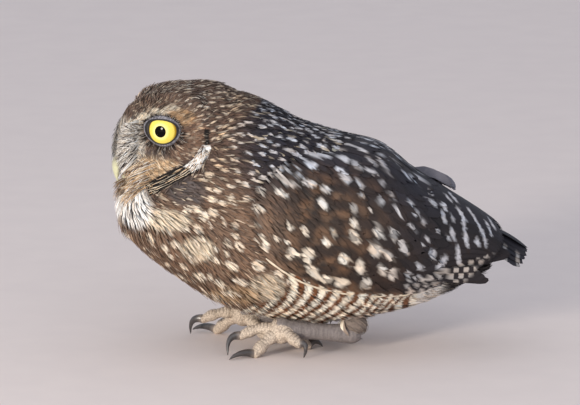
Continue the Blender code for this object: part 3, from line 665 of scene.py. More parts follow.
def foot_material():
    """Grey-buff pebbled skin, darker in the folds across the toes, blue-grey streaks on the shank, whose
    darkness and blue are partly painted shade.
    """
    material, shader, make = new_material("owl_foot_skin", 0.7)
    calc = math_of(make)
    objects = object_place(make)
    pebbles = pebbles_at(make, objects, 1150.0)
    base = blended(make, noise_at(make, objects, 130.0, 3.0), linear(176, 160, 144), linear(244, 226, 204))
    worn = blended(make, pebbles, base, linear(146, 131, 118))
    marks = make("ShaderNodeAttribute", attribute_name="crease").outputs["Color"]
    crease, shank = make("ShaderNodeSeparateXYZ", {0: marks}).outputs[:2]
    x, y, z = make("ShaderNodeSeparateXYZ", {0: objects}).outputs
    # shank: grey of its own, painted darker and bluer as shade
    streaks = noise_at(make, joined(make, x, y, calc("MULTIPLY", z, 0.12)), 700.0, 2.0)
    blue = blended(make, streaks, linear(48, 46, 54), linear(138, 130, 130))
    worn = blended(make, calc("MULTIPLY", shank, 0.85), worn, blue)
    painted(shader, blended(make, calc("MULTIPLY", crease, 0.8), worn, linear(98, 86, 80)))
    bumped(make, shader, pebbles, 0.7, 0.00035)
    return material


def claw_material():
    """Dark horn with fine lengthwise streaks, paler at the root."""
    material, shader, make = new_material("owl_claw", 0.36, Coat_Weight=0.3, Coat_Roughness=0.2)
    along, turn = map_parts(make, "claw")[:2]
    round_it = math_of(make)("MULTIPLY", turn, 9.0)
    streaks = noise_at(make, joined(make, round_it, along, 0.0), 2.4, 3.0)
    dark = blended(make, streaks, linear(34, 32, 34), linear(84, 78, 76))
    painted(shader, blended(make, soft_step(make, along, 0.0, 0.22), linear(128, 116, 108), dark))
    bumped(make, shader, streaks, 0.2, 0.0002)
    return material


def floor_material():
    material, shader, make = new_material("studio_floor", 0.9)
    grain = noise_at(make, object_place(make), 40.0, 2.0)
    painted(shader, blended(make, grain, linear(224, 211, 206), linear(231, 218, 212)))
    return material


# ---- colours and lie of the coat ----

# Patches of colour as the side view of the head shows them: X and height from its centre, half sizes,
# colour, strength. The other side has the same.
FACE_PATCHES = (
    (1.6, 0.5, 11.0, 13.0, EAR, 0.9),
    (-20.0, -14.5, 17.0, 7.0, BUFF, 0.95),
    (-18.0, -7.0, 8.0, 2.6, GREY, 0.6),
    (-31.0, -1.5, 8.0, 12.0, LORE, 0.95),
    (-5.5, 13.0, 8.5, 4.5, OCHRE, 0.85),
    (-28.0, 8.8, 3.6, 2.0, BROW, 0.95),
    (-23.0, 12.2, 4.6, 1.9, BROW, 0.95),
    (-16.0, 15.6, 5.0, 1.8, BROW, 0.95),
    (-9.0, 17.8, 4.4, 1.3, BROW, 0.7),
)
NECK_PATCHES = (
    (-1.0, -23.5, 11.0, 7.5, GREY, 0.85),
    (-13.0, -38.5, 14.0, 5.5, CREAM, 0.85),
    (-29.5, -34.5, 10.6, 11.0, WHITE, 1.0),
)
# Pale streaky patches of breast and flank as seen from the side: X, height, half sizes, colour, strength.
STREAKY = (
    (-63.0, 51.5, 9.0, 6.5, CREAM, 0.8),
    (-27.0, 31.0, 10.0, 7.5, CREAM, 0.7),
    (-44.0, 27.0, 14.0, 5.0, BUFF, 0.6),
)
# Rim of the ruff in the head's frame, from behind the ear forwards and down.
RUFF_LINE = (Vector((-1.9, 29.5, -2.0)), Vector((3.2, 28.8, -12.0)), Vector((25.0, 16.0, -26.0)))
RUFF_HALF = (2.4, 5.6)  # at the ear and at the throat
RUFF_WHITE = 0.42  # share of the line, from the ear, that is white
IN_RUFF = 0.3  # share over which a place belongs to the ruff
SLIT_PLACE, SLIT_HALF = -1.6, 1.3  # dark slit between the face and the neck

VIEW_TILT = 0.194  # how much lower the side view shows a point for each millimetre towards it
# Pale spots as the side view shows them: X, height, length, width, tilt down to the tail, strength.
SIDE_SPOTS = (
    (-94.1, 62.4, 6.9, 2.1, 75, 1), (-92.2, 51.6, 4.8, 1.3, 60, 1), (-89, 47, 4.8, 1.3, 50, 1),
    (-87.8, 57.4, 6.4, 3.4, 75, 1), (-86.9, 52.7, 3.2, 2.1, 60, 1), (-84.5, 62, 2.9, 2.9, 0, 1),
    (-80.7, 51, 4.8, 4, 70, 1), (-79.8, 42.4, 4, 3.2, 50, 1), (-78.2, 61.9, 3.7, 2.9, 60, 0.6),
    (-77.6, 46.4, 4.2, 3.2, 60, 1), (-77.4, 59.7, 3.2, 2.4, 20, 0.6), (-75.2, 52.9, 5.8, 4.5, 0, 1),
    (-71.8, 35.6, 6.9, 3.4, 45, 1), (-69.8, 63.2, 5.3, 4.5, 60, 1), (-68.3, 72.8, 6.5, 4.2, -60, 1),
    (-66.8, 30.5, 4.8, 2.1, 35, 1), (-66.2, 45.1, 5.8, 4.2, 55, 1), (-63.8, 53.5, 5.8, 2.9, 60, 1),
    (-63, 61.9, 4.8, 4.2, 50, 1), (-62.5, 36.2, 6.9, 6.4, 0, 1), (-60.1, 29.7, 6.9, 3.4, 45, 1),
    (-60.1, 56.2, 4.2, 2.7, 60, 1), (-59.9, 68.5, 5.3, 4.2, -50, 1), (-59.9, 68.5, 5.7, 4.2, -50, 1),
    (-56.9, 36.2, 5.3, 2.7, 60, 1), (-56.7, 63.8, 4.8, 1.5, 75, 0.6), (-54.3, 51, 3.7, 1.9, 60, 1),
    (-54, 26.4, 6.4, 3.7, 25, 1), (-54, 44.8, 4.8, 3.2, 40, 1), (-51.9, 32.7, 6.9, 3.7, 25, 1),
    (-49.8, 66.2, 5.3, 1.9, 70, 0.7), (-48.4, 48.6, 3.4, 2.7, 50, 1), (-47.9, 54.3, 5.3, 4.5, 50, 0.4),
    (-47.1, 19.9, 8, 2.4, 20, 1), (-46.1, 28.1, 10.6, 4, -8, 1), (-45.8, 41.8, 6.9, 5.6, 30, 1),
    (-45.4, 77.5, 4.6, 2.7, 60, 0.8), (-45, 77.5, 6.9, 2.7, 70, 0.6), (-44.2, 63.5, 4.2, 3.7, 50, 0.6),
    (-44.2, 99.2, 4.6, 2.7, 20, 1), (-43.1, 22.9, 6.9, 2.4, -5, 1), (-41.7, 52.7, 5.3, 4.2, 40, 1),
    (-41.5, 33.7, 8, 4.2, -5, 1), (-34.4, 17.5, 8.5, 2.1, 0, 1), (-33.5, 96.5, 6.9, 1.9, 20, 1),
    (-32.8, 56.2, 3.2, 1.9, 30, 1), (-32.3, 64.3, 3.2, 3.2, -40, 0.6), (-32, 42.1, 6.6, 5.8, 30, 1),
    (-30.9, 82.5, 5, 3.8, 30, 0.7), (-30.1, 57.8, 4, 2.1, 45, 1), (-28.8, 51.6, 4.2, 2.4, 40, 1),
    (-28, 54, 4.2, 3.2, 30, 1), (-23.6, 94.6, 4.6, 2.1, 20, 1), (-22.9, 57.2, 3.4, 2.3, 50, 1),
    (-21.4, 91, 6.1, 3.8, 20, 0.5), (-20.6, 81.4, 7.2, 2.9, 18, 1), (-20.3, 81.3, 8.4, 2.7, 20, 1),
    (-19.4, 94.6, 4.6, 2.9, 0, 1), (-19.1, 94.5, 4.6, 2.3, 10, 0.6), (-17.6, 55.3, 3.4, 1.9, 30, 1),
    (-16.1, 46.7, 3.8, 2.3, 0, 1), (-16.1, 63.8, 4.6, 1.9, 65, 1), (-15.2, 86.3, 7.6, 3.1, 10, 0.7),
    (-14.9, 86.3, 6.9, 2.7, 0, 0.6), (-13.8, 49.4, 6.5, 3.8, 20, 1), (-11.9, 90.2, 4.6, 3.1, 30, 0.5),
    (-11.4, 90.3, 4.2, 3.8, 0, 0.6), (-8.8, 61.1, 5, 2.7, 75, 1), (-6.5, 45.1, 3.8, 2.7, 60, 1),
    (-5.8, 49.4, 5.7, 5, 0, 1), (-5.8, 86.3, 8, 3.7, -3, 1), (-5, 103.8, 5.3, 2.3, -10, 1),
    (-4.6, 40.5, 6.1, 4.6, 20, 1), (-4.3, 96.1, 5.3, 4.6, 30, 1), (-4.2, 96.5, 5.3, 4.6, 10, 1),
    (-2.4, 37.4, 6.9, 3.8, 30, 1), (-2.4, 112, 3.8, 2.3, 20, 1), (-1.6, 103.1, 3.8, 3.1, 10, 1),
    (1.1, 75.5, 6.9, 4.2, 55, 1), (1.1, 107, 5, 3.4, 0, 1), (2.6, 83.2, 5.7, 3.8, 25, 1),
    (3, 35.4, 6.1, 4.6, 0, 1), (3, 109.3, 3.4, 1.9, 30, 1), (3.1, 54.9, 4.6, 3.4, 40, 1),
    (4.1, 101.5, 5.7, 2.7, -25, 1), (6.8, 59.9, 4.2, 2.7, 80, 0.6), (9.9, 93.9, 4.6, 1.9, 0, 1),
    (11, 33.5, 7.2, 5, -30, 1), (12.1, 46.3, 6.1, 5, 50, 1), (12.1, 99.6, 6.1, 3.4, 35, 1),
    (13.1, 89.1, 6.1, 4.6, 55, 1), (14.8, 110.8, 3.1, 1.4, 10, 1), (16.3, 107.3, 5.3, 1.5, 30, 1),
    (17.5, 58, 8, 3.8, 60, 1), (17.5, 65.4, 5.7, 3.8, 80, 1), (17.5, 72.4, 4.6, 3.4, 70, 0.6),
    (19, 95.7, 8.4, 3.8, 40, 0.6), (20.5, 42, 8.8, 4.4, 80, 1), (20.5, 86.3, 5.7, 3.1, 65, 1),
    (21.3, 79.4, 3.1, 2.7, 0, 0.5), (21.7, 104.6, 7.2, 2.3, 35, 1), (23.6, 33.1, 6.9, 4.6, -45, 1),
    (25.5, 72.4, 2.3, 1.9, 0, 1), (26.3, 98.4, 5, 3.1, 55, 1), (26.6, 92.6, 6.1, 2.7, 10, 0.8),
    (28.5, 51, 7.2, 6.1, 60, 1), (29.5, 64.7, 3.4, 1.7, 20, 1), (29.7, 60.3, 5.7, 4.2, 60, 1),
    (31.6, 77.4, 6.1, 3.1, 80, 0.6), (32, 40.5, 7.6, 3.8, 65, 1), (32.4, 86.7, 3.8, 3.4, 0, 0.5),
    (32.7, 96.5, 8.4, 3.1, 55, 1), (35, 92.2, 3.1, 2.3, 0, 0.6), (35.6, 47.9, 6.5, 3.4, 55, 1),
    (36.5, 80.5, 3.8, 2.7, 70, 0.5), (37.3, 38.5, 7.2, 4.2, -70, 1), (37.7, 59.5, 6.1, 3.8, 70, 1),
    (40, 71.6, 6.5, 1.7, 50, 1), (43, 52.5, 7.6, 3.4, 65, 1), (44.2, 90.6, 4.6, 1.7, 60, 1),
    (45.7, 38.1, 3.4, 2.7, 80, 1), (46.5, 64.2, 2.7, 1.7, 40, 1), (47.2, 75.5, 2.3, 1.5, 0, 1),
    (48, 88.7, 6.5, 1.9, 50, 1), (48.8, 62.2, 3.8, 1.9, 70, 0.5), (49.1, 71.2, 5.3, 2.4, 75, 1),
    (50.3, 35, 5.3, 4.2, 60, 1), (51.4, 42, 5.7, 2.7, 60, 1), (52.2, 87.9, 7.2, 1.9, 60, 1),
    (52.6, 82.5, 3.1, 1.1, 50, 1), (52.9, 53.3, 2.3, 1.4, 60, 1), (52.9, 66.1, 4.6, 2.3, 75, 0.5),
    (55.6, 56, 3.4, 1.4, 60, 1), (56, 82.1, 7.2, 2.1, 55, 1), (58.3, 49.4, 6.5, 3.8, 80, 1),
    (58.7, 75.9, 4.6, 3.1, 50, 0.7), (61, 61.1, 2.3, 1.9, 0, 1), (63.2, 44, 8.4, 3.4, -55, 1),
    (64, 68.9, 7.6, 2.4, 72, 1), (64.4, 74.7, 5.7, 2.3, 60, 1), (66.3, 57.6, 3.8, 1.5, 80, 0.8),
    (67.1, 79.7, 6.9, 1.9, 50, 1), (68.6, 59.9, 7.6, 2.3, 78, 1), (69, 68.5, 4.6, 1.5, 70, 0.6),
    (69.7, 80.9, 9.2, 2.1, 55, 1), (71.6, 47.9, 11.4, 2.4, 88, 1), (73.9, 71.6, 9.2, 2.3, 62, 1),
    (75.1, 66.1, 5.3, 1.5, 75, 1), (75.8, 57.6, 9.9, 2.4, 80, 1), (79.3, 42, 7.2, 4.6, -30, 0.8),
    (80.8, 71.6, 11.4, 1.9, 62, 1), (81.6, 55.3, 4.6, 1.9, 80, 1), (85, 59.9, 15.3, 2.1, 72, 1),
    (88, 44, 6.5, 4.6, 60, 0.8), (88.4, 63.8, 12.2, 1.5, 68, 1), (89.9, 66.1, 10.7, 1.4, 65, 1),
)


def seen(point):
    """Place of a point in the side view, the same for both sides."""
    return point.x, point.z - VIEW_TILT * abs(point.y)


def patch_share(across, up, patch):
    d = math.hypot((across - patch[0]) / patch[2], (up - patch[1]) / patch[3])
    return patch[5] * smooth_step(1.2, 0.75, d)


def mixed(first, second, share):
    """First colour with a share of the second."""
    return tuple(a + (b - a) * share for a, b in zip(first, second))


def ruff_half(t):
    """Half width of the ruff at a share of its rim."""
    return RUFF_HALF[0] + (RUFF_HALF[1] - RUFF_HALF[0]) * t


def ruff_place(point):
    """Share of the ruff at a point, how far along its rim that is, and the rim's direction there."""
    place = in_head(point)
    flat = Vector((place.x, abs(place.y), place.z))
    best = (FAR_AWAY, 0.0, Vector((1, 0, 0)))
    for k, (start, end) in enumerate(zip(RUFF_LINE, RUFF_LINE[1:])):
        way = end - start
        t = min(max((flat - start).dot(way) / way.length_squared, 0.0), 1.0)
        gap = (flat - start - way * t).length
        if gap < best[0]:
            best = (gap, (k + t) / 2, way)
    gap, along, way = best
    half = ruff_half(along)
    share = smooth_step(half, half * 0.6, gap) * smooth_step(1.0, 0.9, along)
    return share, along, (on_side(way, head_side(place)) - HEAD_CENTRE).normalized()


def ruff_spot(t):
    """Point of the ruff's rim in the head's frame."""
    k = 0 if t < 0.5 else 1
    return RUFF_LINE[k] + (RUFF_LINE[k + 1] - RUFF_LINE[k]) * (2 * t - k)


def ruff_ground(along):
    """Colour under the ruff: white behind the ear, black from there to the throat."""
    return mixed(WHITE, BLACK, smooth_step(RUFF_WHITE, RUFF_WHITE + 0.06, along))


def side_place(point):
    """Where a point of the head or neck shows in the side view, the same for both sides."""
    place = in_head(point)
    return -HEAD_COS * place.x + HEAD_SIN * abs(place.y), place.z


def above_neck(point):
    """Height over the slope where the head meets the neck: more than 0 on the head."""
    return (point - NECK_TOP_POINT).dot(Vector(NECK_UP))


class Spots:
    """Pale spots over the bird: those seen from the side, and small ones where there are none of them."""

    def __init__(self, skin):
        self.rows = []
        for side in (LEFT, RIGHT):
            for x, height, long, wide, tilt, strength in SIDE_SPOTS:
                angle = angle_seen(x, height, side)
                point = outline_point(x, angle, side)
                along, round_it, normal = outline_frame(x, angle, side)
                turn = math.radians(tilt)
                way = along.normalized() * math.cos(turn) - round_it.normalized() * math.sin(turn)
                self.rows.append((point, way.normalized(), normal, long / 2, wide / 2, strength))
        self.index()
        everywhere, gap_of = (lambda p: np.ones(len(p))), (lambda p: spot_size(p)[0])
        roots = scattered(skin.data, everywhere, self.free, gap_of, SMALL_SPOT_TRIES)
        for point, normal in roots:
            _, long, wide = spot_size(point)
            grow = 1 + rng.normal(0, 0.16)
            self.rows.append((point, lie_at_place(point, normal), normal, long * grow, wide * grow, 0.9))
        self.index()

    def index(self):
        self.tree = KDTree(len(self.rows))
        for i, row in enumerate(self.rows):
            self.tree.insert(row[0], i)
        self.tree.balance()

    def free(self, point):
        """Whether a small spot can go here."""
        x, height = seen(point)
        if above_neck(point) > 0:
            return in_head(point).x < 26
        if 0.4 < wing_cover(x, round_angle(point)) or -40 < x < 45 and height < 34:
            return False
        gap = self.tree.find(point)[2]
        return gap > 5.0 and (height > 62 - 0.4 * (x + 60) or gap > 8.5)

    def reach(self, point):
        """Under 1 inside the nearest spot, growing with the distance from it, and its strength."""
        best, strength = 9.0, 0.0
        for _, i, _ in self.tree.find_n(point, 4):
            spot, way, normal, long, wide, strong = self.rows[i]
            away = point - spot
            far = math.hypot(away.dot(way) / long, away.dot(normal.cross(way)) / wide)
            if far < best:
                best, strength = far, strong
        return best, strength


def angle_seen(x, height, side):
    """Angle round the outline of the place that the side view shows at a height."""
    low, high = -80.0, 88.0
    for _ in range(20):
        middle = (low + high) / 2
        if seen(outline_point(x, middle, side))[1] < height:
            low = middle
        else:
            high = middle
    return low


def spot_size(point):
    """Gap between small spots, and their half length and half width, at a place."""
    if above_neck(point) > 0:
        back = back_share(side_place(point)[0])
        return 2.3 + 1.1 * back, 1.5 + 0.4 * back, 0.5 + 0.3 * back
    top = smooth_step(12.0, 38.0, round_angle(point)) * smooth_step(-70.0, -45.0, point.x)
    nape = max(smooth_step(-30.0, -16.0, side_place(point)[1]), top)
    return 5.6 - 1.6 * nape, 2.3 - 0.2 * nape, 1.7 - 0.75 * nape


FLANK = (-42.0, 50.0)  # along X, where the flank is barred
BAR_STEP, BAR_RISE, BAR_ARCH = 7.4, 19.0, 20.0  # gap, height, and how far a bar leans back over it
BAR_FOOT = 12.5  # height at which the bars start
CHECK_LONG, CHECK_HIGH = 5.2, 3.2  # patches of the primaries' edge
SMALL_SPOT_TRIES, HEAD_TRIES, BODY_TRIES, WING_TRIES = 20000, 120000, 190000, 24000


def barred(x, height):
    """Colour of the flank: white and brown bars that rise and arch back from the belly's edge."""
    rise = min(max((height - BAR_FOOT - 0.55 * max(0.0, x - 22.0)) / BAR_RISE, 0.0), 1.3)
    run = (x - BAR_ARCH * (2 * rise - rise * rise)) / BAR_STEP
    edge = abs(run - math.floor(run) - 0.5) * 2
    if edge < 0.54:
        return mixed(BARS_PALE, BARS_EDGE, smooth_step(0.46, 0.56, edge))
    return mixed(BARS_EDGE, BARS_BROWN, smooth_step(0.54, 0.72, edge))


def edge_rise(x):
    """How much higher than at its front the folded wing's lower edge is."""
    return 0.075 * (x - 42.0)


def is_checked(x, height):
    """Whether the side view shows the edge of the primaries there, under the secondaries."""
    return height < 34.5 + 0.33 * (x - 45.0)


def checked(x, height):
    """Share of pale at a place of the primaries' edge, in rows of patches."""
    row = (height - 30.2 - edge_rise(x)) / CHECK_HIGH
    run = x / CHECK_LONG + 0.5 * (math.floor(row) % 2)
    across, up = abs(run - math.floor(run) - 0.5) * 2, abs(row - math.floor(row) - 0.5) * 2
    return smooth_step(0.56, 0.44, across) * smooth_step(0.9, 0.74, up)


SPOTS = []  # holds the bird's Spots once there is a skin to lay them on


def from_eye(place):
    """Way to a place of the head's frame from the middle of the eye on its side."""
    return Vector((place.x, abs(place.y), place.z)) - EYE_HUB


def back_share(across):
    """0 on the face and crown, 1 on the back of the head."""
    return smooth_step(0.0, 26.0, across)


def face_share(place):
    """1 in the face's disc, 0 outside it."""
    return smooth_step(25.0, 19.0, from_eye(place).length) * smooth_step(-9.0, -3.0, place.x)


def top_share(angle):
    """0 on the sides of the body, 1 on its top."""
    return smooth_step(8.0, 40.0, angle)


def mantle_share(x, angle):
    """1 on the back behind the neck, which is dark partly in its own colour and partly as painted shade."""
    return top_share(angle) * smooth_step(-52.0, -28.0, x)


def head_ground(point):
    """Colour of the coat of the head, of its spots and round them; no spots on the face."""
    across, up = side_place(point)
    place = in_head(point)
    back, face = back_share(across), face_share(place)
    tint, patched = mixed(CROWN, NAPE, back), face
    for patch in FACE_PATCHES:
        share = patch_share(across, up, patch)
        if share > 0 and place.x > -12:
            tint, patched = mixed(tint, patch[4], share), max(patched, share)
    ruff, along, _ = ruff_place(point)
    if ruff > IN_RUFF:
        return ruff_ground(along), None, None
    if abs(place.x - SLIT_PLACE) < SLIT_HALF and abs(place.y) > 20 and -8 < place.z < 8:
        return BLACK, None, None
    if patched > 0.5:
        tint = mixed(tint, DARK, 0.5 * smooth_step(0.05, 0.5, noise.noise(point * 0.4)))
        light = noise.noise(point * 0.5 + Vector((9, 4, 2)))
        return mixed(tint, CREAM, 0.3 * smooth_step(0.1, 0.5, light)), None, None
    return tint, mixed(CROWN_MARK, NAPE_MARK, back), DARK


def body_ground(point):
    """Colour of the coat of the body, of its spots and round them; None where there are no spots."""
    x, height = seen(point)
    angle = round_angle(point)
    across, up = side_place(point)
    front = smooth_step(-30.0, -60.0, x)
    upper = max(top_share(angle), smooth_step(-26.0, -10.0, up) * front)
    mantle = mantle_share(x, angle)
    # on the back the colours take the painted shade of BACK and BACK_MARK, darker and bluish
    tint = mixed(mixed(BREAST, NAPE, upper), BACK, mantle)
    pale = mixed(mixed(BREAST_MARK, NAPE_MARK, upper), BACK_MARK, mantle)
    ring = mixed(BREAST_DARK, DARK, upper)
    wing = wing_cover(x, angle) if x > WING_FRONT else 0.0
    if wing > 0:
        # towards the wing's rear and top its colours grow darker and bluish: partly its own darker flight
        # feathers, partly painted shade
        rear = smooth_step(10.0, 62.0, x)
        cloud = smooth_step(-0.15, 0.45, noise.noise(point * 0.17)) * (1 - rear)
        dark = mixed(mixed(WING, WING_BROWN, cloud), FLIGHT, rear)
        dark = mixed(dark, BACK, smooth_step(25.0, 62.0, angle))
        tint = mixed(tint, dark, wing * smooth_step(-36.0, -6.0, x))
        pale = mixed(mixed(WING_MARK, FLIGHT_MARK, rear), BACK_MARK, smooth_step(10.0, 50.0, angle))
        ring = mixed(ring, BLACK, 0.8)
        if 43.0 < x < 88.0 and is_checked(x, height):
            return mixed(FLIGHT, CHECKS, checked(x, height)), None, None
    if in_heel(point):
        return HEEL_TINT, None, None
    if wing < 0.35 and is_barred(point):
        return (VENT if angle < -80.0 else barred(x, height)), None, None
    if x > 44.0 and wing < 0.35 and angle < 0:
        return mixed(VENT, FLIGHT, smooth_step(60.0, 68.0, x)), None, None
    if x < -18:
        for patch in STREAKY:
            tint = mixed(tint, patch[4], patch_share(x, height, patch))
    if x < -40:
        share = 0.0
        for patch in NECK_PATCHES:
            here = patch_share(across, up, patch)
            tint, share = mixed(tint, patch[4], here), max(share, here)
        ruff, along, _ = ruff_place(point)
        if ruff > IN_RUFF:
            return ruff_ground(along), None, None
        if share > 0.5:
            return tint, None, None
    return tint, pale, ring


def coat_colour(point):
    """Colour of the coat at a place."""
    tint, pale, ring = head_ground(point) if above_neck(point) > 0 else body_ground(point)
    if pale is None or not SPOTS:
        return tint
    tint = mixed(tint, ring, 0.35 * smooth_step(0.0, 0.5, noise.noise(point * 0.3)))
    reach, strength = SPOTS[0].reach(point)
    if reach < 1.2:
        return mixed(mixed(tint, ring, 0.45), pale, strength * smooth_step(1.2, 0.84, reach))
    return mixed(tint, ring, 0.45 * smooth_step(2.0, 1.2, reach))


def lie_at_place(point, normal):
    """Way the feathers lie: off the forehead over the head, then down the breast and back to the tail."""
    to_tail = Vector((1.0, 0.0, -0.32))
    share = smooth_step(4.0, -12.0, above_neck(point))
    away = (point - head_point(FOREHEAD)).normalized()
    place = in_head(point)
    if place.x > -5:
        out = from_eye(place)
        radial = (on_side(out, head_side(place)) - HEAD_CENTRE).normalized()
        near = smooth_step(20.0, 11.0, out.length) * smooth_step(5.0, -1.0, out.z)
        away = (away * (1 - 0.8 * near) + radial * 0.8 * near).normalized()
    angle = round_angle(point)
    breast = smooth_step(-30.0, -60.0, point.x) * smooth_step(20.0, -10.0, angle)
    flank = smooth_step(-6.0, -20.0, angle) * smooth_step(-50.0, -20.0, point.x)
    to_tail = to_tail.lerp(Vector((0.62, 0.0, -0.79)), breast)
    to_tail = to_tail.lerp(Vector((0.72, 0.0, -0.69)), flank * smooth_step(60.0, 46.0, point.x))
    way = away * (1 - share) + to_tail.normalized() * share
    ruff, _, rim = ruff_place(point)
    way = way.normalized() * (1 - ruff) + rim * ruff
    way = way - normal * way.dot(normal)
    return way.normalized() if way.length > 0.02 else Vector((0, 0, -1))


def unwrap_place(point, centre, size):
    """Place of a root on a map of the skin, as length and turn round a line from bill to tail."""
    away = Vector((a / b for a, b in zip(point - centre, size))).normalized()
    along = math.acos(max(-1.0, min(1.0, away.x))) / math.pi
    turn = math.atan2(away.y, away.z) / (2 * math.pi) + 0.5
    return 0.02 + 0.955 * along, 0.02 + 0.955 * turn


# ---- feathers ----


def through(rows, v):
    """Places at shares v of the curves through the first, middle and last point of each row."""
    first, middle, last = rows[:, 0:1], rows[:, 1:2], rows[:, 2:3]
    return first * (1 - v) * (1 - 2 * v) + middle * 4 * v * (1 - v) + last * v * (2 * v - 1)


def tapered(stops, round_at):
    """How a feather swells from its root, and how it rounds off to its tip, as shares of its width."""
    swell = 0.42 + 0.58 * np.sin(np.minimum(stops / 0.42, 1.0) * math.pi / 2)
    over = np.clip((stops - round_at) / (1 - round_at), 0, 1)
    return swell, np.sqrt(np.maximum(1 - over ** 2.1, 0.012))


class Coat:
    """Feathers of one piece, each a thin closed vane with the same few faces."""

    def __init__(self, name, columns, stops, ragged=0.035):
        self.name, self.ragged = name, ragged
        self.columns, self.stops = np.linspace(-1, 1, columns), np.array(stops)
        self.spine, self.normals, self.sizes, self.maps, self.tones = [], [], [], [], []

    def add(self, points, normals, size, root_map, tone):
        """One feather: size is half width, camber, where its tip rounds and curl; tone is a colour or
        three factors on the coat's own, and a shade from -1, dark, to 1, cream."""
        self.spine.append([tuple(p) for p in points])
        self.normals.append([tuple(n) for n in normals])
        self.sizes.append(size)
        self.maps.append(root_map)
        self.tones.append(tone)

    def finish(self, material, slot, paint=None, stir=0.0):
        """Makes the piece. paint gives the colour of a place, which stir moves about, feather by feather;
        without it the tones are the colours."""
        count = len(self.spine)
        rows, columns = len(self.stops), len(self.columns)
        spine, normals, sizes = np.array(self.spine), np.array(self.normals), np.array(self.sizes)
        v = self.stops[None, :, None]
        line, up = through(spine, v), through(normals, v)
        slope = spine[:, 0:1] * (4 * v - 3) + spine[:, 1:2] * (4 - 8 * v) + spine[:, 2:3] * (4 * v - 1)
        across = np.cross(slope, up)
        across /= np.linalg.norm(across, axis=2, keepdims=True)
        up = np.cross(across, slope)
        up /= np.linalg.norm(up, axis=2, keepdims=True)
        half, camber, round_at, curl = (sizes[:, k][:, None] for k in range(4))
        stop = self.stops[None, :]
        swell, rounding = tapered(stop, round_at)
        width = half * swell * rounding
        u = self.columns[None, None, :]
        wobble = rng.normal(0, self.ragged * 2, (count, rows, columns))
        wide = width[:, :, None] * (u + wobble * np.abs(u))
        drop = camber[:, :, None] * (1 - u * u) * (0.35 + 0.65 * (width / half)[:, :, None])
        drop = drop + curl[:, :, None] * wide * stop[:, :, None]
        grid = line[:, :, None, :] + across[:, :, None, :] * wide[..., None]
        grid = grid + up[:, :, None, :] * drop[..., None]
        along_jitter = rng.normal(0, self.ragged, (count, rows, columns)) * (stop[:, :, None] > 0.5)
        grid = grid + slope[:, :, None, :] * along_jitter[..., None]
        return self.write(grid, self.coloured(grid, paint, stir), material, slot)

    def coloured(self, grid, paint, stir):
        """Colours by place, a row at a time on narrow feathers, each feather in its own tone."""
        count, rows, columns = grid.shape[:3]
        tones = np.array(self.tones)[:, None, None, :]
        if paint is None:
            return np.broadcast_to(tones[..., :3], (count, rows, columns, 3))
        spots = grid if columns > 3 else grid[:, :, 1:2]
        spots = spots + rng.normal(0, stir, (count, 1, 1, 3))
        found = np.array([paint(Vector(p)) for p in spots.reshape(-1, 3)]).reshape(count, rows, -1, 3)
        found = np.broadcast_to(found, (count, rows, columns, 3))
        dark, light = np.clip(-tones[..., 3:], 0, 1), np.clip(tones[..., 3:], 0, 1)
        found = found + (np.array(DARK) - found) * dark + (np.array(CREAM) - found) * light
        return found * tones[..., :3]

    def write(self, grid, colours, material, slot):
        count, rows, columns = grid.shape[:3]
        per = rows * columns
        faces = []
        for r in range(rows - 1):
            for c in range(columns - 1):
                a = r * columns + c
                faces.append((a, a + 1, a + 1 + columns, a + columns))
            left = r * columns
            faces.append((left, left + columns, left + 2 * columns - 1, left + columns - 1))
        faces.append(tuple(range(columns - 1, -1, -1)))
        faces.append(tuple(range(per - columns, per)))
        one = np.concatenate([np.array(f) for f in faces])
        lengths = np.array([len(f) for f in faces])
        starts = np.concatenate([[0], np.cumsum(lengths)[:-1]])
        corners = (one[None, :] + per * np.arange(count)[:, None]).ravel()
        loop_starts = (starts[None, :] + len(one) * np.arange(count)[:, None]).ravel()
        mesh = bpy.data.meshes.new(self.name)
        mesh.vertices.add(count * per)
        mesh.vertices.foreach_set("co", (grid * MM).ravel())
        mesh.loops.add(len(corners))
        mesh.loops.foreach_set("vertex_index", corners)
        mesh.polygons.add(len(loop_starts))
        mesh.polygons.foreach_set("loop_start", loop_starts)
        mesh.update(calc_edges=True)
        u = np.tile(self.columns, rows)
        v = np.repeat(self.stops, columns)
        own = np.stack([u, v], axis=1)
        vane = mesh.uv_layers.new(name="vane")
        vane.data.foreach_set("uv", np.tile(own[one], (count, 1)).ravel())
        patch = np.stack([(u + 1) / 2, v], axis=1) * 0.003
        maps = np.array(self.maps)[:, None, :] + patch[one][None, :, :]
        bake = mesh.uv_layers.new(name="OFBake")
        bake.data.foreach_set("uv", maps.ravel())
        full = np.concatenate([colours, np.ones((count, rows, columns, 1))], axis=3)
        set_attribute(mesh, "tint", "FLOAT_COLOR", full)
        mesh.validate()
        mesh.shade_smooth()
        mesh.set_sharp_from_angle(angle=math.radians(65))
        piece = bpy.data.objects.new(self.name, mesh)
        bpy.context.scene.collection.objects.link(piece)
        piece.data.materials.append(material)
        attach(piece, "root")
        return piece


def varied(colour, spread):
    """The same colour, a little lighter or darker and warmer or cooler."""
    light = 1 + rng.normal(0, spread)
    warm = 1 + rng.normal(0, spread * 0.35)
    return tuple(max(0.004, c * light * w) for c, w in zip(colour, (warm, 1.0, 2 - warm)))


# Shares of a feather's length at which its rows of points lie.
SMALL_STOPS = (0.0, 0.25, 0.5, 0.7, 0.87, 1.0)
VANE_STOPS = (0.0, 0.3, 0.5, 0.64, 0.76, 0.87, 0.95, 1.0)
FLIGHT_STOPS = (0.0, 0.15, 0.3, *(0.4 + 0.6 * k / 34 for k in range(35)))
NO_CHANGE = (1.0, 1.0, 1.0)


def own_tone(spread, dark=0.0, light=0.0):
    """Tone of one feather: a small change of colour, and for some a dark or a cream shade."""
    pick = rng.random()
    shade = 0.0
    if pick < dark:
        shade = -0.2 - 0.5 * rng.random()
    elif pick > 1 - light:
        shade = 0.15 + 0.35 * rng.random()
    return (*varied(NO_CHANGE, spread), shade)


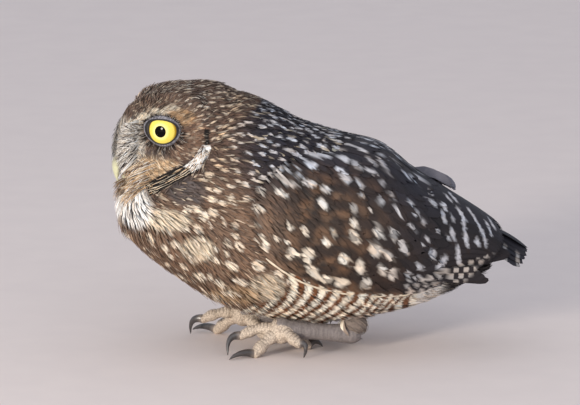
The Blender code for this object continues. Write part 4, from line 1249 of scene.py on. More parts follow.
def feather_size(point):
    """Length, half width and lift of the small feathers at a place, and how many are dark or light."""
    if above_neck(point) > 0:
        place = in_head(point)
        across, up = side_place(point)
        back, face = back_share(across), face_share(place)
        length, half, lift = 5.6 + 2.0 * back, 0.38 + 0.1 * back, 0.9 + 0.3 * back
        brow = smooth_step(14.0, 24.0, place.x) * smooth_step(12.0, 17.0, place.z)
        if ruff_place(point)[0] > IN_RUFF:
            return 8.0, 0.3, 0.7, 0.0, 0.0
        lift += 1.3 * brow
        light = 0.06 + 0.2 * smooth_step(-4.0, -12.0, up) * face
        return length - 1.4 * face, half - 0.1 * face, lift - 0.45 * face, 0.12 + 0.1 * face, light
    angle = round_angle(point)
    top, mantle = top_share(angle), mantle_share(point.x, angle)
    vent = smooth_step(44.0, 62.0, point.x) * smooth_step(10.0, -20.0, angle)
    if in_heel(point):
        return 4.2, 0.16, 0.8, 0.1, 0.15
    across, up = side_place(point)
    throat = max(patch_share(across, up, patch) for patch in NECK_PATCHES[1:])
    loose = smooth_step(-20.0, -50.0, angle) * smooth_step(-80.0, -55.0, point.x)
    loose *= smooth_step(26.0, 14.0, point.x)
    lift = 1.0 + 0.7 * vent + 1.9 * loose + 1.6 * throat
    if is_barred(point):
        return 12.0, 1.5, lift, 0.0, 0.0
    half = 0.45 + 0.4 * mantle + 0.15 * vent
    return 8.4 + 2.5 * vent - 0.8 * top + 1.5 * throat, half, lift, 0.16, 0.06


def is_barred(point):
    """Whether the flank is barred at a point: further forward low down than under the wing."""
    x, height = seen(point)
    front = FLANK[0] + 26.0 * smooth_step(16.0, 30.0, height)
    return front < x < FLANK[1] and round_angle(point) < -5.0


def in_heel(point):
    """Whether a point is on the end of the thigh, over the heel."""
    return 12.0 < point.x < 34.0 and point.z < 21.0 and abs(point.y) > 9.0


def picked(choices):
    """One of the colours, by their shares."""
    pick = rng.random() * sum(share for _, share in choices)
    for colour, share in choices:
        pick -= share
        if pick < 0:
            return colour
    return choices[-1][0]


def grow_coat(coat, roots, search, coat_map):
    """Lays one feather at each root over the skin."""
    for point, normal in roots:
        length, half, lift, dark, light = feather_size(point)
        way = lie_at_place(point, normal)
        turn = rng.normal(0, 0.16)
        way = (way * math.cos(turn) + normal.cross(way) * math.sin(turn)).normalized()
        length *= 1 + rng.normal(0, 0.15)
        middle, n1 = search.find_nearest(point + way * length * 0.5)[:2]
        onward = way - n1 * way.dot(n1)
        onward.normalize()
        end, n2 = search.find_nearest(middle + onward * length * 0.5)[:2]
        lift *= 1 + rng.normal(0, 0.25)
        points = (point - normal * 0.3, middle + n1 * lift * 0.62, end + n2 * lift)
        vane = (half * (1 + rng.normal(0, 0.15)), 0.13, 0.3, rng.normal(0, 0.08))
        tone = own_tone(0.13, dark, light)
        coat.add(points, (normal, n1, n2), vane, unwrap_place(point, *coat_map), tone)


CELL = 3.5  # side of the cells in which neighbours are looked for


def thinned(candidates, gap_of):
    """Those of the candidates, each a point and something with it, that keep their gap from the others."""
    cells, kept = {}, []
    for point, more in candidates:
        home = tuple(int(math.floor(s / CELL)) for s in point)
        gap = gap_of(point)
        reach = range(-int(gap / CELL) - 1, int(gap / CELL) + 2)
        crowded = any(
            (point - other).length < gap
            for i in reach for j in reach for k in reach
            for other in cells.get((home[0] + i, home[1] + j, home[2] + k), ())
        )
        if not crowded:
            cells.setdefault(home, []).append(point)
            kept.append((point, more))
    return kept


def ordered_faces(mesh):
    """Points of each face, in an order that is the same at every run, as a cut mesh's own isn't."""
    rows = [tuple(face.vertices) for face in mesh.polygons]
    starts = [row.index(min(row)) for row in rows]
    return sorted(row[start:] + row[:start] for row, start in zip(rows, starts))


def scattered(mesh, wanted, keep, gap_of, tries):
    """Roots spread over the wanted side of a mesh, each at least its own gap from the others."""
    co = np.empty(len(mesh.vertices) * 3)
    mesh.vertices.foreach_get("co", co)
    co = co.reshape(-1, 3) / MM
    triangles = [(row[0], *pair) for row in ordered_faces(mesh) for pair in zip(row[1:], row[2:])]
    a, b, c = (co[corner] for corner in np.array(triangles).T)
    facing = np.cross(b - a, c - a)
    area = np.linalg.norm(facing, axis=1) / 2
    weight = area * wanted((a + b + c) / 3)
    picks = rng.choice(len(area), tries, p=weight / weight.sum())
    r1, r2 = np.sqrt(rng.random(tries)), rng.random(tries)
    parts = ((a, 1 - r1), (b, r1 * (1 - r2)), (c, r1 * r2))
    spots = sum(corner[picks] * share[:, None] for corner, share in parts)
    unit = facing / np.maximum(area * 2, 1e-9)[:, None]
    placed = ((Vector(spot), Vector(unit[pick])) for spot, pick in zip(spots, picks))
    return [root for root in thinned(placed, gap_of) if keep(root[0])]


# ---- skin ----


def skin_depth(x, angle):
    """How far the skin lies under the outline: deeper under the wing, never past the tail's middle."""
    depth = COAT_DEPTH + (UNDER_WING - COAT_DEPTH) * wing_cover(x, angle)
    return min(depth, 0.8 * curve_value(BODY_SECTIONS, x, 3))


def make_skin():
    """One skin for body, head and thighs, drawn in round the eyes, with sockets for them."""
    bm = bmesh.new()
    rings = []
    for x in spaced(FIRST_X, RUMP_END, 70):
        ring = []
        for k in range(72):
            turn = 360.0 * k / 72
            side, angle = (LEFT if turn < 180 else RIGHT), 90 - abs(turn - 180)
            ring.append(body_point(x, angle, side, skin_depth(x, angle)))
        rings.append(ring)
    add_loft(bm, rings)
    head = bmesh.ops.create_uvsphere(bm, u_segments=96, v_segments=60, radius=1.0)
    for vert in head["verts"]:
        way = vert.co.normalized()
        depth = FACE_DEPTH + (COAT_DEPTH - FACE_DEPTH) * smooth_step(0.3, -0.2, way.x)
        vert.co = head_point(way * (head_radius(way) - depth))
    for _, side in SIDES:
        thigh = foot_place(HEEL, side) + THIGH_LIFT - Vector((1.5, 0, 0.5))
        add_ball(bm, thigh, THIGH_SIZE - Vector((3.0, 2.5, 2.5)))
    skin = fused(new_piece("skin", bm), 1.25, 3, 0.5)
    for side in (-1, 1):
        centre, axis = eye_axes(side)[:2]
        for vert in skin.data.vertices:
            away = vert.co / MM - centre
            if away.length < 20.0 and away.dot(axis) > 0:
                reach = EYE_RADIUS - 0.6 + 0.5 * max(0.0, near_eye(vert.co / MM) - 1.9)
                if away.length > reach:
                    vert.co = (centre + away.normalized() * reach) * MM
    sockets = bmesh.new()
    for side in (-1, 1):
        add_ball(sockets, on_side(EYE_PLACE, side), Vector((1, 1, 1)) * (EYE_RADIUS + 0.15), 48)
    carved(skin, "socket_cutter", sockets, "MANIFOLD")
    tints = [(*coat_colour(vert.co / MM), 1.0) for vert in skin.data.vertices]
    set_attribute(skin.data, "tint", "FLOAT_COLOR", tints)
    skin.data.materials.append(skin_material())
    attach(skin, "root")
    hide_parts("head", "neck", "torso", "thigh_left", "thigh_right")
    return skin


# ---- eyes and lids ----

IRIS_HALF_ANGLE = math.radians(50.0)
LID_OPENING_FRONT, LID_OPENING_REAR, LID_OPENING_UP, LID_OPENING_DOWN = 7.5, 7.8, 5.7, 6.5
FRONT_CORNER, REAR_CORNER = 2.3, 0.2  # how far the black skin runs out there
LID_PROFILE = (
    # out from the opening's edge, height over the ball
    (0.0, -0.5), (0.0, 0.2), (0.2, 0.42), (0.45, 0.5), (0.85, 0.35),
    (1.25, 0.6), (1.7, 0.42), (2.3, 0.3), (3.2, -1.2), (2.2, -1.6),
)


def eye_axes(side):
    """Centre of the eyeball, the way it looks, and the ways across and up over the opening."""
    centre = on_side(EYE_PLACE, side)
    ahead = (EYE_PLACE.x + math.cos(EYE_LOOK), EYE_PLACE.y + math.sin(EYE_LOOK), EYE_PLACE.z)
    axis = (on_side(ahead, side) - centre).normalized()
    up = Vector((0, 0, 1))
    return centre, axis, axis.cross(up).normalized(), up


def turn_of(co):
    """Share of a turn round the eye's axis."""
    return math.atan2(co.y, co.x) / (2 * math.pi)


def make_eye(label, side, material):
    """Eyeball, its map reaching out from the pupil in steps of the iris and round in turns."""
    centre, axis, across, up = eye_axes(side)
    bm = bmesh.new()
    bmesh.ops.create_uvsphere(bm, u_segments=64, v_segments=48, radius=EYE_RADIUS)
    layer = bm.loops.layers.uv.new("iris")
    for face in bm.faces:
        turns = [turn_of(vert.co) for vert in face.verts if vert.co.xy.length > 0.01]
        for loop in face.loops:
            co = loop.vert.co
            turn = turn_of(co) if co.xy.length > 0.01 else turns[0]
            if max(turns) - min(turns) > 0.5 and turn < 0:
                turn += 1.0
            loop[layer].uv = (co.angle(Vector((0, 0, 1))) / IRIS_HALF_ANGLE, turn)
    turn = Matrix((across, up, axis)).transposed().to_4x4()
    bmesh.ops.transform(bm, matrix=Matrix.Translation(centre) @ turn, verts=bm.verts)
    eye = new_piece("eyeball_" + label, bm)
    eye.data.materials.append(material)
    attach(eye, "root")
    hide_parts("eye_" + label)


def lid_edge(turn, side):
    """Opening between the lids: the upper one flatter than the lower, drawn out to the front corner."""
    c, s = math.cos(turn), math.sin(turn)
    if c * side > 0:
        wide = math.copysign(abs(c) ** 0.9, c) * LID_OPENING_FRONT
    else:
        wide = math.copysign(abs(c) ** 1.05, c) * LID_OPENING_REAR
    return wide, s ** 0.72 * LID_OPENING_UP if s > 0 else s * LID_OPENING_DOWN


def lid_corner(turn, side):
    """How far the dark skin of the eye's corners runs out."""
    ahead = math.cos(turn) * side
    return FRONT_CORNER * max(ahead, 0.0) ** 3 + REAR_CORNER * max(-ahead, 0.0) ** 6


def make_lids(label, side, material):
    """Both lids as one ring over the ball, with a rolled edge and creases."""
    centre, axis, across, up = eye_axes(side)
    bm = bmesh.new()
    layer_rows = []
    for row_number, (out, over) in enumerate(LID_PROFILE):
        row = []
        for k in range(96):
            turn = 2 * math.pi * k / 96
            wide, high = lid_edge(turn, side)
            flat = Vector((wide, high))
            corner = lid_corner(turn, side) * min(max(row_number - 1, 0), 2) / 2
            ahead = max(math.cos(turn) * side, 0.0) ** 3
            spread = out * (1.25 if math.sin(turn) > 0 else 1.0) * (1 - 0.5 * ahead)
            flat += flat.normalized() * (spread + corner)
            crease = 0.08 * math.sin(turn * 48) * (1.0 if 0.5 < out < 3.0 else 0.0)
            reach = EYE_RADIUS + over + crease
            brink = (0.82 - 0.09 * ahead) * reach
            depth = math.sqrt(reach ** 2 - min(flat.length, brink) ** 2)
            depth -= (1.43 - 1.0 * ahead) * max(flat.length - brink, 0.0)
            row.append(bm.verts.new(centre + across * flat.x + up * flat.y + axis * depth))
        layer_rows.append(row)
    loops = [[bm.edges.new((a, b)) for a, b in zip(row, row[1:] + row[:1])] for row in layer_rows]
    for here, there in zip(loops, loops[1:] + loops[:1]):
        bmesh.ops.bridge_loops(bm, edges=here + there)
    place_of = {vert: i / len(LID_PROFILE) for i, row in enumerate(layer_rows) for vert in row}
    layer = bm.loops.layers.uv.new("lid")
    for face in bm.faces:
        for loop in face.loops:
            loop[layer].uv = (place_of[loop.vert], 0.0)
    lids = new_piece("eyelids_" + label, bm)
    lids.data.materials.append(material)
    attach(lids, "root")


# ---- bill ----


def bill_rings(sections, count, sides=28, edge=2.3):
    """Sections of half a bill, from its ridge to its edge, with flattened sides."""
    table = [(i, *s) for i, s in enumerate(sections)]
    rings = []
    for i in range(count):
        place = (len(sections) - 1) * i / (count - 1)
        ahead, up, edge_ahead, edge_up, half = (curve_value(table, place, k) for k in range(1, 6))
        ridge, rim = Vector((ahead, 0, up)), Vector((edge_ahead, 0, edge_up))
        middle, reach = (ridge + rim) / 2, (ridge - rim) / 2
        ring = []
        for k in range(sides):
            t = 2 * math.pi * k / sides
            c, s = math.cos(t), math.sin(t)
            wide = math.copysign(abs(s) ** (2 / edge), s) * half
            ring.append(head_point(middle + c * reach + Vector((0, wide, 0))))
        rings.append(ring)
    return rings


def make_bill(material):
    """Both halves of the bill, the upper one with its nostrils."""
    for name, sections in (("upper", UPPER_BILL), ("lower", LOWER_BILL)):
        bm = bmesh.new()
        add_loft(bm, bill_rings(sections, 30))
        bill = new_piece("bill_horn_" + name, bm)
        if name == "upper":
            holes = bmesh.new()
            for side in (-1, 1):
                add_ball(holes, on_side((37.2, 4.5, -11.0), side), Vector((1.3, 1.3, 0.85)), 20)
            carved(bill, "nostril_cutter", holes, "EXACT")
        bill.data.set_sharp_from_angle(angle=math.radians(50))
        bill.data.materials.append(material)
        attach(bill, "root")
        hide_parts("bill_" + name)


# ---- legs ----


def foot_place(place, side):
    """A place of the left foot, or of the right one where it stands."""
    return Vector((place[0] + FOOT_FORWARD[side], side * place[1], place[2]))


def toe_line(toe, side):
    """Points and radii along a toe, thicker at its pads and thinner at its joints."""
    knuckles, thick = TOES[toe][:2]
    joints = [foot_place(SOLE, side)] + [foot_place(k, side) for k in knuckles]
    first, middle, last = joints
    path, radii = [], []
    for k in range(22):
        t = k / 21
        path.append(bent(first, middle, last, t))
        radii.append(thick[0] + (thick[1] - thick[0]) * t + 0.38 * math.cos(t * 5 * math.pi))
    ahead = Vector((last.x - path[-4].x, last.y - path[-4].y, 0)).normalized()
    for share, size in ((0.9, 0.94), (1.6, 0.74), (2.0, 0.5)):
        path.append(last + ahead * share)
        radii.append(thick[1] * size)
    return path, radii


def make_leg(label, side, material):
    """Shank, foot and toes as one scaly skin."""
    bm = bmesh.new()
    heel, sole = foot_place(HEEL, side), foot_place(SOLE, side)
    add_ball(bm, sole, SOLE_SIZE - Vector((0.3, 0.3, 0.3)))
    way = sole + SHANK_END - heel
    stations = spaced(-0.12, 1.0, 30)
    radii = [curve_value(SHANK, s, 1) for s in stations]
    add_loft(bm, tube_rings([heel + way * s for s in stations], radii, 20))
    lines = []
    for toe in TOES:
        path, thick = toe_line(toe, side)
        lines.append((path, thick))
        add_loft(bm, tube_rings(path, thick, 18, 0.96))
    leg = fused(new_piece("leg_skin_" + label, bm), 0.5, 4, 0.5)
    lines.append(([heel + way * s for s in stations], radii))
    count = len(leg.data.vertices)
    points, normals = np.empty(count * 3), np.empty(count * 3)
    leg.data.vertices.foreach_get("co", points)
    leg.data.vertices.foreach_get("normal", normals)
    points, normals = points.reshape(-1, 3) / MM, normals.reshape(-1, 3)
    nearest, wave, strength = np.full(count, 1e9), np.zeros(count), np.zeros(count)
    for j, (path, thick) in enumerate(lines):
        spots, run = np.array([tuple(p) for p in path]), 0.0
        for i, radius in enumerate(thick):
            way_on = spots[min(i + 1, len(spots) - 1)] - spots[max(i - 1, 0)]
            run += np.linalg.norm(spots[i] - spots[i - 1]) if i else 0.0
            away = points - spots[i]
            gap = np.linalg.norm(away, axis=1) - radius
            place = run + away @ (way_on / np.linalg.norm(way_on))
            closer = gap < nearest
            nearest[closer] = gap[closer]
            wave[closer] = np.sin(place[closer] * 2 * math.pi / SCUTE_STEP)
            strength[closer] = 1.0 if j < len(TOES) else 0.0
    upper = np.clip((normals[:, 2] - 0.1) / 0.6, 0, 1)
    creases = np.clip((wave - 0.55) / 0.45, 0, 1) * upper * strength
    pads = PAD_RISE * np.sin(points[:, 0] * 4.1) * np.sin(points[:, 1] * 4.6) * (1 - upper)
    points += normals * (pads - SCUTE_DEPTH * creases)[:, None]
    points[:, 2] = np.maximum(points[:, 2], 0.04)
    leg.data.vertices.foreach_set("co", (points * MM).ravel())
    shank = 1.0 - strength
    marks = np.stack([creases, shank, shank, np.ones(count)], axis=1)
    set_attribute(leg.data, "crease", "FLOAT_COLOR", marks)
    leg.data.materials.append(material)
    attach(leg, "root")
    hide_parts(*(f"{n}_{label}" for n in ("shank", "foot", "toe_1", "toe_2", "toe_3", "toe_4")))


def make_claws(label, side, material):
    """The four claws of a foot, each map running from root to tip."""
    bm = bmesh.new()
    layer = bm.loops.layers.uv.new("claw")
    for toe in TOES:
        path, _ = toe_line(toe, side)
        base, way = path[-1], (path[-1] - path[-4]).normalized()
        tip = foot_place(TOES[toe][2], side)
        start = base - way * 0.9
        bend = base + way * 0.55 * (tip - base).length + Vector((0, 0, TOES[toe][3]))
        line, radii = [], []
        for k in range(20):
            t = k / 19
            line.append(bent(start, bend, tip, t))
            radii.append(CLAW_RADIUS * (1 - t) ** 0.7 + 0.16)
        before = set(bm.faces)
        add_loft(bm, tube_rings(line, radii, 14, 1.15))
        for face in set(bm.faces) - before:
            for loop in face.loops:
                co = loop.vert.co
                share = min(range(20), key=lambda i: (co - line[i]).length) / 19
                loop[layer].uv = (share, math.atan2(co.y - base.y, co.z) / math.pi)
    claws = new_piece("claw_horn_" + label, bm)
    claws.data.materials.append(material)
    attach(claws, "root")
    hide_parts(*(f"claw_{toe}_{label}" for toe in TOES))


# ---- wings and tail ----


def covert_edge(x):
    """Angle at which the coverts end below the scapulars."""
    return curve_value(WING_EDGES, x, 2) - SCAPULAR_SPAN * smooth_step(-26.0, 0.0, x)


def lay_vane(coat, side, root, tip, size, depths, tone, bow=0.0):
    """One feather over the outline: root and tip are (along X, angle), depths at root, middle, tip."""
    points, normals = [], []
    for share, depth in zip((0.0, 0.5, 1.0), depths):
        x = root[0] + (tip[0] - root[0]) * share
        angle = root[1] + (tip[1] - root[1]) * share + bow * math.sin(math.pi * share)
        points.append(body_point(x, angle, side, depth))
        normals.append(outline_frame(min(x, LAST_X - 2), angle, side)[2])
    coat.add(points, normals, size, unwrap_place(points[0], *WING_MAP), tone)


WING_ROOTS = (-36.0, 40.0)  # along X, where the wing's small feathers and coverts are rooted
FINE_UNTIL = -14.0  # the shoulder's feathers are as fine as the breast's
LUMP = linear(120, 116, 122)  # tertials of the right wing that stand up a little


def wing_size(x):
    """Length, half width and gap of the wing's small feathers and coverts at a place."""
    big = smooth_step(-36.0, 26.0, x)
    return 8.0 + 15.0 * big, 0.55 + 3.1 * big ** 1.2, 1.15 + 2.5 * big


def make_coverts(label, side, material):
    """The shoulder, the coverts and the scapulars up to the line of the back."""
    coats = {
        "shoulder": Coat("shoulder_coat_" + label, 3, SMALL_STOPS),
        "wing_coverts": Coat("wing_coverts_coat_" + label, 5, VANE_STOPS, 0.02),
        "scapulars": Coat("scapulars_coat_" + label, 5, VANE_STOPS, 0.02),
    }
    places = zip(rng.uniform(*WING_ROOTS, WING_TRIES), rng.uniform(-40.0, 90.0, WING_TRIES))
    inside = (
        (x, angle) for x, angle in places
        if curve_value(WING_EDGES, x, 1) < angle
        < max(curve_value(WING_EDGES, x, 2), 90.0 * smooth_step(-6.0, 14.0, x))
    )
    placed = ((outline_point(x, angle, side), (x, angle)) for x, angle in inside)
    for _, (x, angle) in thinned(placed, lambda p: wing_size(p.x)[2]):
        length, half, _ = wing_size(x)
        length *= 1 + rng.normal(0, 0.1)
        top = smooth_step(40.0, 80.0, angle)
        end = angle - (0.62 * length + rng.normal(0, 2.0)) * (1 - top) - 0.5
        end = min(max(end, curve_value(WING_EDGES, x + length, 1) + 0.5), 89.5)
        name = "shoulder" if x < FINE_UNTIL else "wing_coverts" if angle < covert_edge(x) else "scapulars"
        depths = (2.5, 1.1, rng.normal(0.15, 0.16))
        tone = own_tone(0.12, 0.15)
        size = (half * (1 + rng.normal(0, 0.1)), 0.13 + 0.1 * top, 0.5, rng.normal(0, 0.05))
        lay_vane(coats[name], side, (x, angle), (x + length, end), size, depths, tone)
    for x in spaced(-28.0, 44.0, 17):  # loose ones along the wing's lower edge
        low = curve_value(WING_EDGES, x, 1) - 1.0
        end = curve_value(WING_EDGES, x + 7.0, 1) - 1.0
        if x < 2.0 or rng.random() < 0.5:
            size, depths = (0.6, 0.2, 0.4, 0), (0.2, -0.3, 0.0)
            lay_vane(coats["shoulder"], side, (x, low), (x + 7.0, end), size, depths, (1, 1, 1, 1))
    if side == RIGHT:  # the raised tertials that show behind the back
        lump = Coat("far_tertials_coat", 5, VANE_STOPS, 0.02)
        for _ in range(26):
            x, angle = 47.0 + 8.0 * rng.random(), 80.0 - 16.0 * rng.random()
            line = [body_point(x + 8.0 * j, angle, side, depth) for j, depth in enumerate((2.0, -2.3, 0.3))]
            tone = (*varied(LUMP, 0.1), 0.0)
            facing = (Vector((0.2, -0.7, 0.7)),) * 3
            lump.add(line, facing, (2.6, 0.3, 0.55, 0.0), unwrap_place(line[0], *WING_MAP), tone)
        lump.finish(material, "dark_vane")
    for name, coat in coats.items():
        piece = coat.finish(material, "dark_vane", coat_colour, 0.15 if name == "shoulder" else 0.06)
        if name != "shoulder":
            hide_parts(f"{name}_{label}")


def flight_colour(point):
    """Checked along the lower edge of the primaries, dark at their tips, otherwise as the coat."""
    x, height = seen(point)
    if is_checked(x, height):
        before_tip = smooth_step(80.0, 74.0, x + 37.0 - height)
        edge = before_tip * smooth_step(29.8, 30.6, height - edge_rise(x))
        return mixed(FLIGHT, CHECKS, checked(x, height) * edge)
    return coat_colour(point)


def make_flight(label, side, material):
    """Primaries under secondaries, their tips in steps towards the tail."""
    for name, count in (("primaries", 10), ("secondaries", 17)):
        coat = Coat(f"wing_{name}_coat_{label}", 7, FLIGHT_STOPS, 0.006)
        for i in range(count):
            share = i / (count - 1)
            if name == "primaries":
                root = (32.0 + 6.0 * share, curve_value(WING_EDGES, 34.0, 1) + 2.0 + 20.0 * share)
                tip = (85.0 + 15.0 * share ** 0.7, -54.0 + 62.0 * share)
                size, depths = (4.2, 0.4, 0.8, -0.1), (5.2, 3.4, 3.0)
            else:
                root = (36.0 - 2.0 * share, curve_value(WING_EDGES, 36.0, 1) + 8.0 + 116.0 * share)
                reach = 78.0 + 17.0 * math.sin(math.pi * (0.12 + 0.6 * share))
                tip = (reach, curve_value(WING_EDGES, 80.0, 1) + 6.0 + 114.0 * share)
                size, depths = (4.6, 0.4, 0.72, -0.1), (3.5, 1.6, 0.5)
            lay_vane(coat, side, root, tip, size, depths, own_tone(0.07), 2.0)
        if name == "primaries":
            for k in range(4):  # the tips that stand clear of the flank
                line = []
                for x, height, depth in ((56.0, 36.0, 1.0), (70.0, 36.5, -0.6)):
                    line.append(body_point(x, angle_seen(x, height + 1.2 * k, side), side, depth))
                line.append(line[1] + Vector((17.0 - 2.0 * k, -2.0 * side, -1.6 + 0.6 * k)))
                facing = (Vector((0.15, 0.95 * side, -0.25)).normalized(),) * 3
                place = unwrap_place(line[0], *WING_MAP)
                coat.add(line, facing, (2.4, 0.2, 0.85, 0.0), place, own_tone(0.07))
        piece = coat.finish(material, "dark_vane", flight_colour, 0.05)
        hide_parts(f"wing_{name}_{label}")


def tail_colour(point):
    """Nearly black, partly as painted shade, with pale bars under its edges."""
    bar = point.x / 6.5 - 0.3
    share = 0.7 * smooth_step(0.34, 0.24, abs(bar - math.floor(bar) - 0.5) * 2)
    return mixed(TAIL, TAIL_MARK, share * smooth_step(6.5, 9.0, abs(point.y)))


def make_tail(material):
    """Eleven tail feathers, the middle ones longest and highest."""
    coat = Coat("tail_feathers", 7, FLIGHT_STOPS, 0.006)
    for i in range(-5, 6):
        rank, side = abs(i), (i > 0) - (i < 0)
        reach = 1 - (rank / 5) ** 2
        drop = 1.5 * rank
        root = Vector((70.0, side * 1.1 * rank, 65.5 - drop))
        tip = Vector((103.5 + 4.3 * reach, side * 2.4 * rank, 52.0 - drop))
        middle = root.lerp(tip, 0.5) + Vector((0, 0, 4.4))
        up = Vector((0.3, side * 0.4, 1)).normalized()
        place = unwrap_place(root, *TAIL_MAP)
        coat.add((root, middle, tip), (up,) * 3, (4.4, 0.5, 0.8, 0.0), place, own_tone(0.08))
    piece = coat.finish(material, "dark_vane", tail_colour, 0.1)
    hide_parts("tail")


# ---- coat ----


def near_eye(point):
    """How far a point is outside the opening of the lids and the black skin at its corners."""
    side = head_side(in_head(point))
    centre, axis, across, up = eye_axes(side)
    away = point - centre
    wide, high = away.dot(across), away.dot(up)
    if away.dot(axis) < 0:
        return FAR_AWAY
    turn = math.atan2(high, wide)
    edge = Vector(lid_edge(turn, side)).length + lid_corner(turn, side)
    return math.hypot(wide, high) - edge


def in_bill(point):
    """Whether a point of the face is where the bill comes out."""
    place = in_head(point)
    return abs(place.y) < 4.4 and place.x > 26 and -21 < place.z < -8


def keeps_feather(point):
    """Whether a small feather can stand at a point: not on eye, bill, wing, rump's end or shank."""
    if above_neck(point) > 0:
        return near_eye(point) > 1.2 and not in_bill(point)
    if point.x > RUMP_END - 4.0 or wing_cover(point.x, round_angle(point)) > 0.55:
        return False
    shanks = (foot_place(HEEL, side) - Vector((6, 0, 2)) for _, side in SIDES)
    return all((point - shank).length >= 5.0 for shank in shanks)


def head_gap(point):
    """Gap between the roots of the head's feathers, least round the eyes."""
    place = in_head(point)
    far = smooth_step(16.0, 26.0, from_eye(place).length)
    return 0.76 + 0.12 * far + 0.2 * smooth_step(5.0, -25.0, place.x)


def body_gap(point):
    """Gap between the roots of the body's feathers, wider on the back and the belly."""
    if is_barred(point):
        return 1.75
    angle = round_angle(point)
    under = smooth_step(-50.0, -70.0, angle) * smooth_step(-70.0, -40.0, point.x)
    return 0.98 + 0.4 * mantle_share(point.x, angle) + 0.6 * under


def head_share(points):
    """1 for the points of the head, 0 for the others."""
    return ((points - np.array(NECK_TOP_POINT)) @ np.array(NECK_UP) > 0).astype(float)


def coat_region(point, is_head):
    """Piece that the feather at a point belongs to."""
    side = "_left" if point.y < 0 else "_right"
    if is_head:
        return "face" + side if in_head(point).x > 2 else "crown"
    if round_angle(point) > 34:
        return "back"
    if is_barred(point) and not in_heel(point):
        return "bars" + side
    return ("breast" if point.x < -46 else "flank") + side


def make_coat(skin, material, wide_material):
    """Small feathers over the skin, in one piece for each region, wider ones on the barred flank."""
    search = BVHTree.FromPolygons([v.co / MM for v in skin.data.vertices], ordered_faces(skin.data))
    SPOTS.append(Spots(skin))
    head = scattered(skin.data, head_share, keeps_feather, head_gap, HEAD_TRIES)
    body = scattered(skin.data, lambda p: 1.0 - head_share(p), keeps_feather, body_gap, BODY_TRIES)
    groups = {}
    for is_head, roots in ((True, head), (False, body)):
        for root in roots:
            groups.setdefault(coat_region(root[0], is_head), []).append(root)
    for region, roots in groups.items():
        wide = region.startswith("bars")
        coat = Coat(region + "_coat", 5 if wide else 3, VANE_STOPS if wide else SMALL_STOPS, 0.03)
        on_head = region.startswith(("face", "crown"))
        grow_coat(coat, roots, search, HEAD_MAP if on_head else BODY_MAP)
        look, stir = (wide_material, 0.08) if wide else (material, 0.2)
        coat.finish(look, "brown_plumage", coat_colour, stir)
    return search


# ---- bristles ----


BRISTLE_STOPS = (0.0, 0.3, 0.6, 0.85, 1.0)
LORE_TONES = ((LORE, 0.42), (WHITE, 0.26), (GREY, 0.2), (DARK, 0.12))
CHEEK_TONES = ((BUFF, 0.34), (CREAM, 0.28), (WHITE, 0.08), (EAR, 0.18), (DARK, 0.12))
CHIN_TONES = ((BUFF, 0.34), (CREAM, 0.26), (WHITE, 0.14), (EAR, 0.16), (DARK, 0.1))
LASH_TONES = ((BLACK, 0.5), (DARK, 0.3), (LORE, 0.2))
LASHES, RUFF_FEATHERS = 330, 800


def lore_bristle():
    """Start, end, arch, half width and colour of one that fans from the lores over the bill."""
    low = rng.random()
    end_up = 9.0 - 29.0 * low
    end_front = 41.0 - 0.016 * (end_up + 8.0) ** 2 - 8.0 * rng.random() ** 1.4
    end = (end_front, 1.0 + 6.0 * rng.random(), end_up)
    start_up = 2.0 + 0.5 * end_up
    start = (29.0 + 3.0 * rng.random(), 5.0 + 8.0 * rng.random(), start_up + rng.normal(0, 2.0))
    tone = picked(LORE_TONES)
    return start, end, 1.2 + 2.2 * rng.random(), 0.13, tone


def cheek_bristle():
    """The same for one of the buff cheek."""
    low = rng.random()
    start = (20.0 + 9 * rng.random(), 7.0 + 13.0 * rng.random(), -8.5 - 17.0 * low)
    end_front = 38.5 - 7.0 * low - 6.0 * rng.random() ** 1.5
    end = (end_front, 2.0 + 8.0 * rng.random(), -16.0 - 15.0 * low)
    tone = picked(CHEEK_TONES)
    return start, end, 0.7 + 1.4 * rng.random(), 0.13, tone


def chin_bristle():
    """The same for one of the chin."""
    start = (25.0 + 5.0 * rng.random(), 2.0 + 12.0 * rng.random(), -21.0 - 4.0 * rng.random())
    end = (39.0 - 8.0 * rng.random(), 1.0 + 12.0 * rng.random(), -25.0 - 10.0 * rng.random())
    tone = picked(CHIN_TONES)
    return start, end, 1.0 + 1.5 * rng.random(), 0.15, tone


FACE_BRISTLES = ((lore_bristle, 1400), (cheek_bristle, 1300), (chin_bristle, 320))


def by_lids(side, turn, out, lift):
    """Place round the eye, out from the opening of the lids and lifted along the eye's axis."""
    centre, axis, across, up = eye_axes(side)
    wide, high = lid_edge(turn, side)
    reach = 1 + (out + lid_corner(turn, side)) / math.hypot(wide, high)
    return centre + (across * wide + up * high) * reach + axis * lift


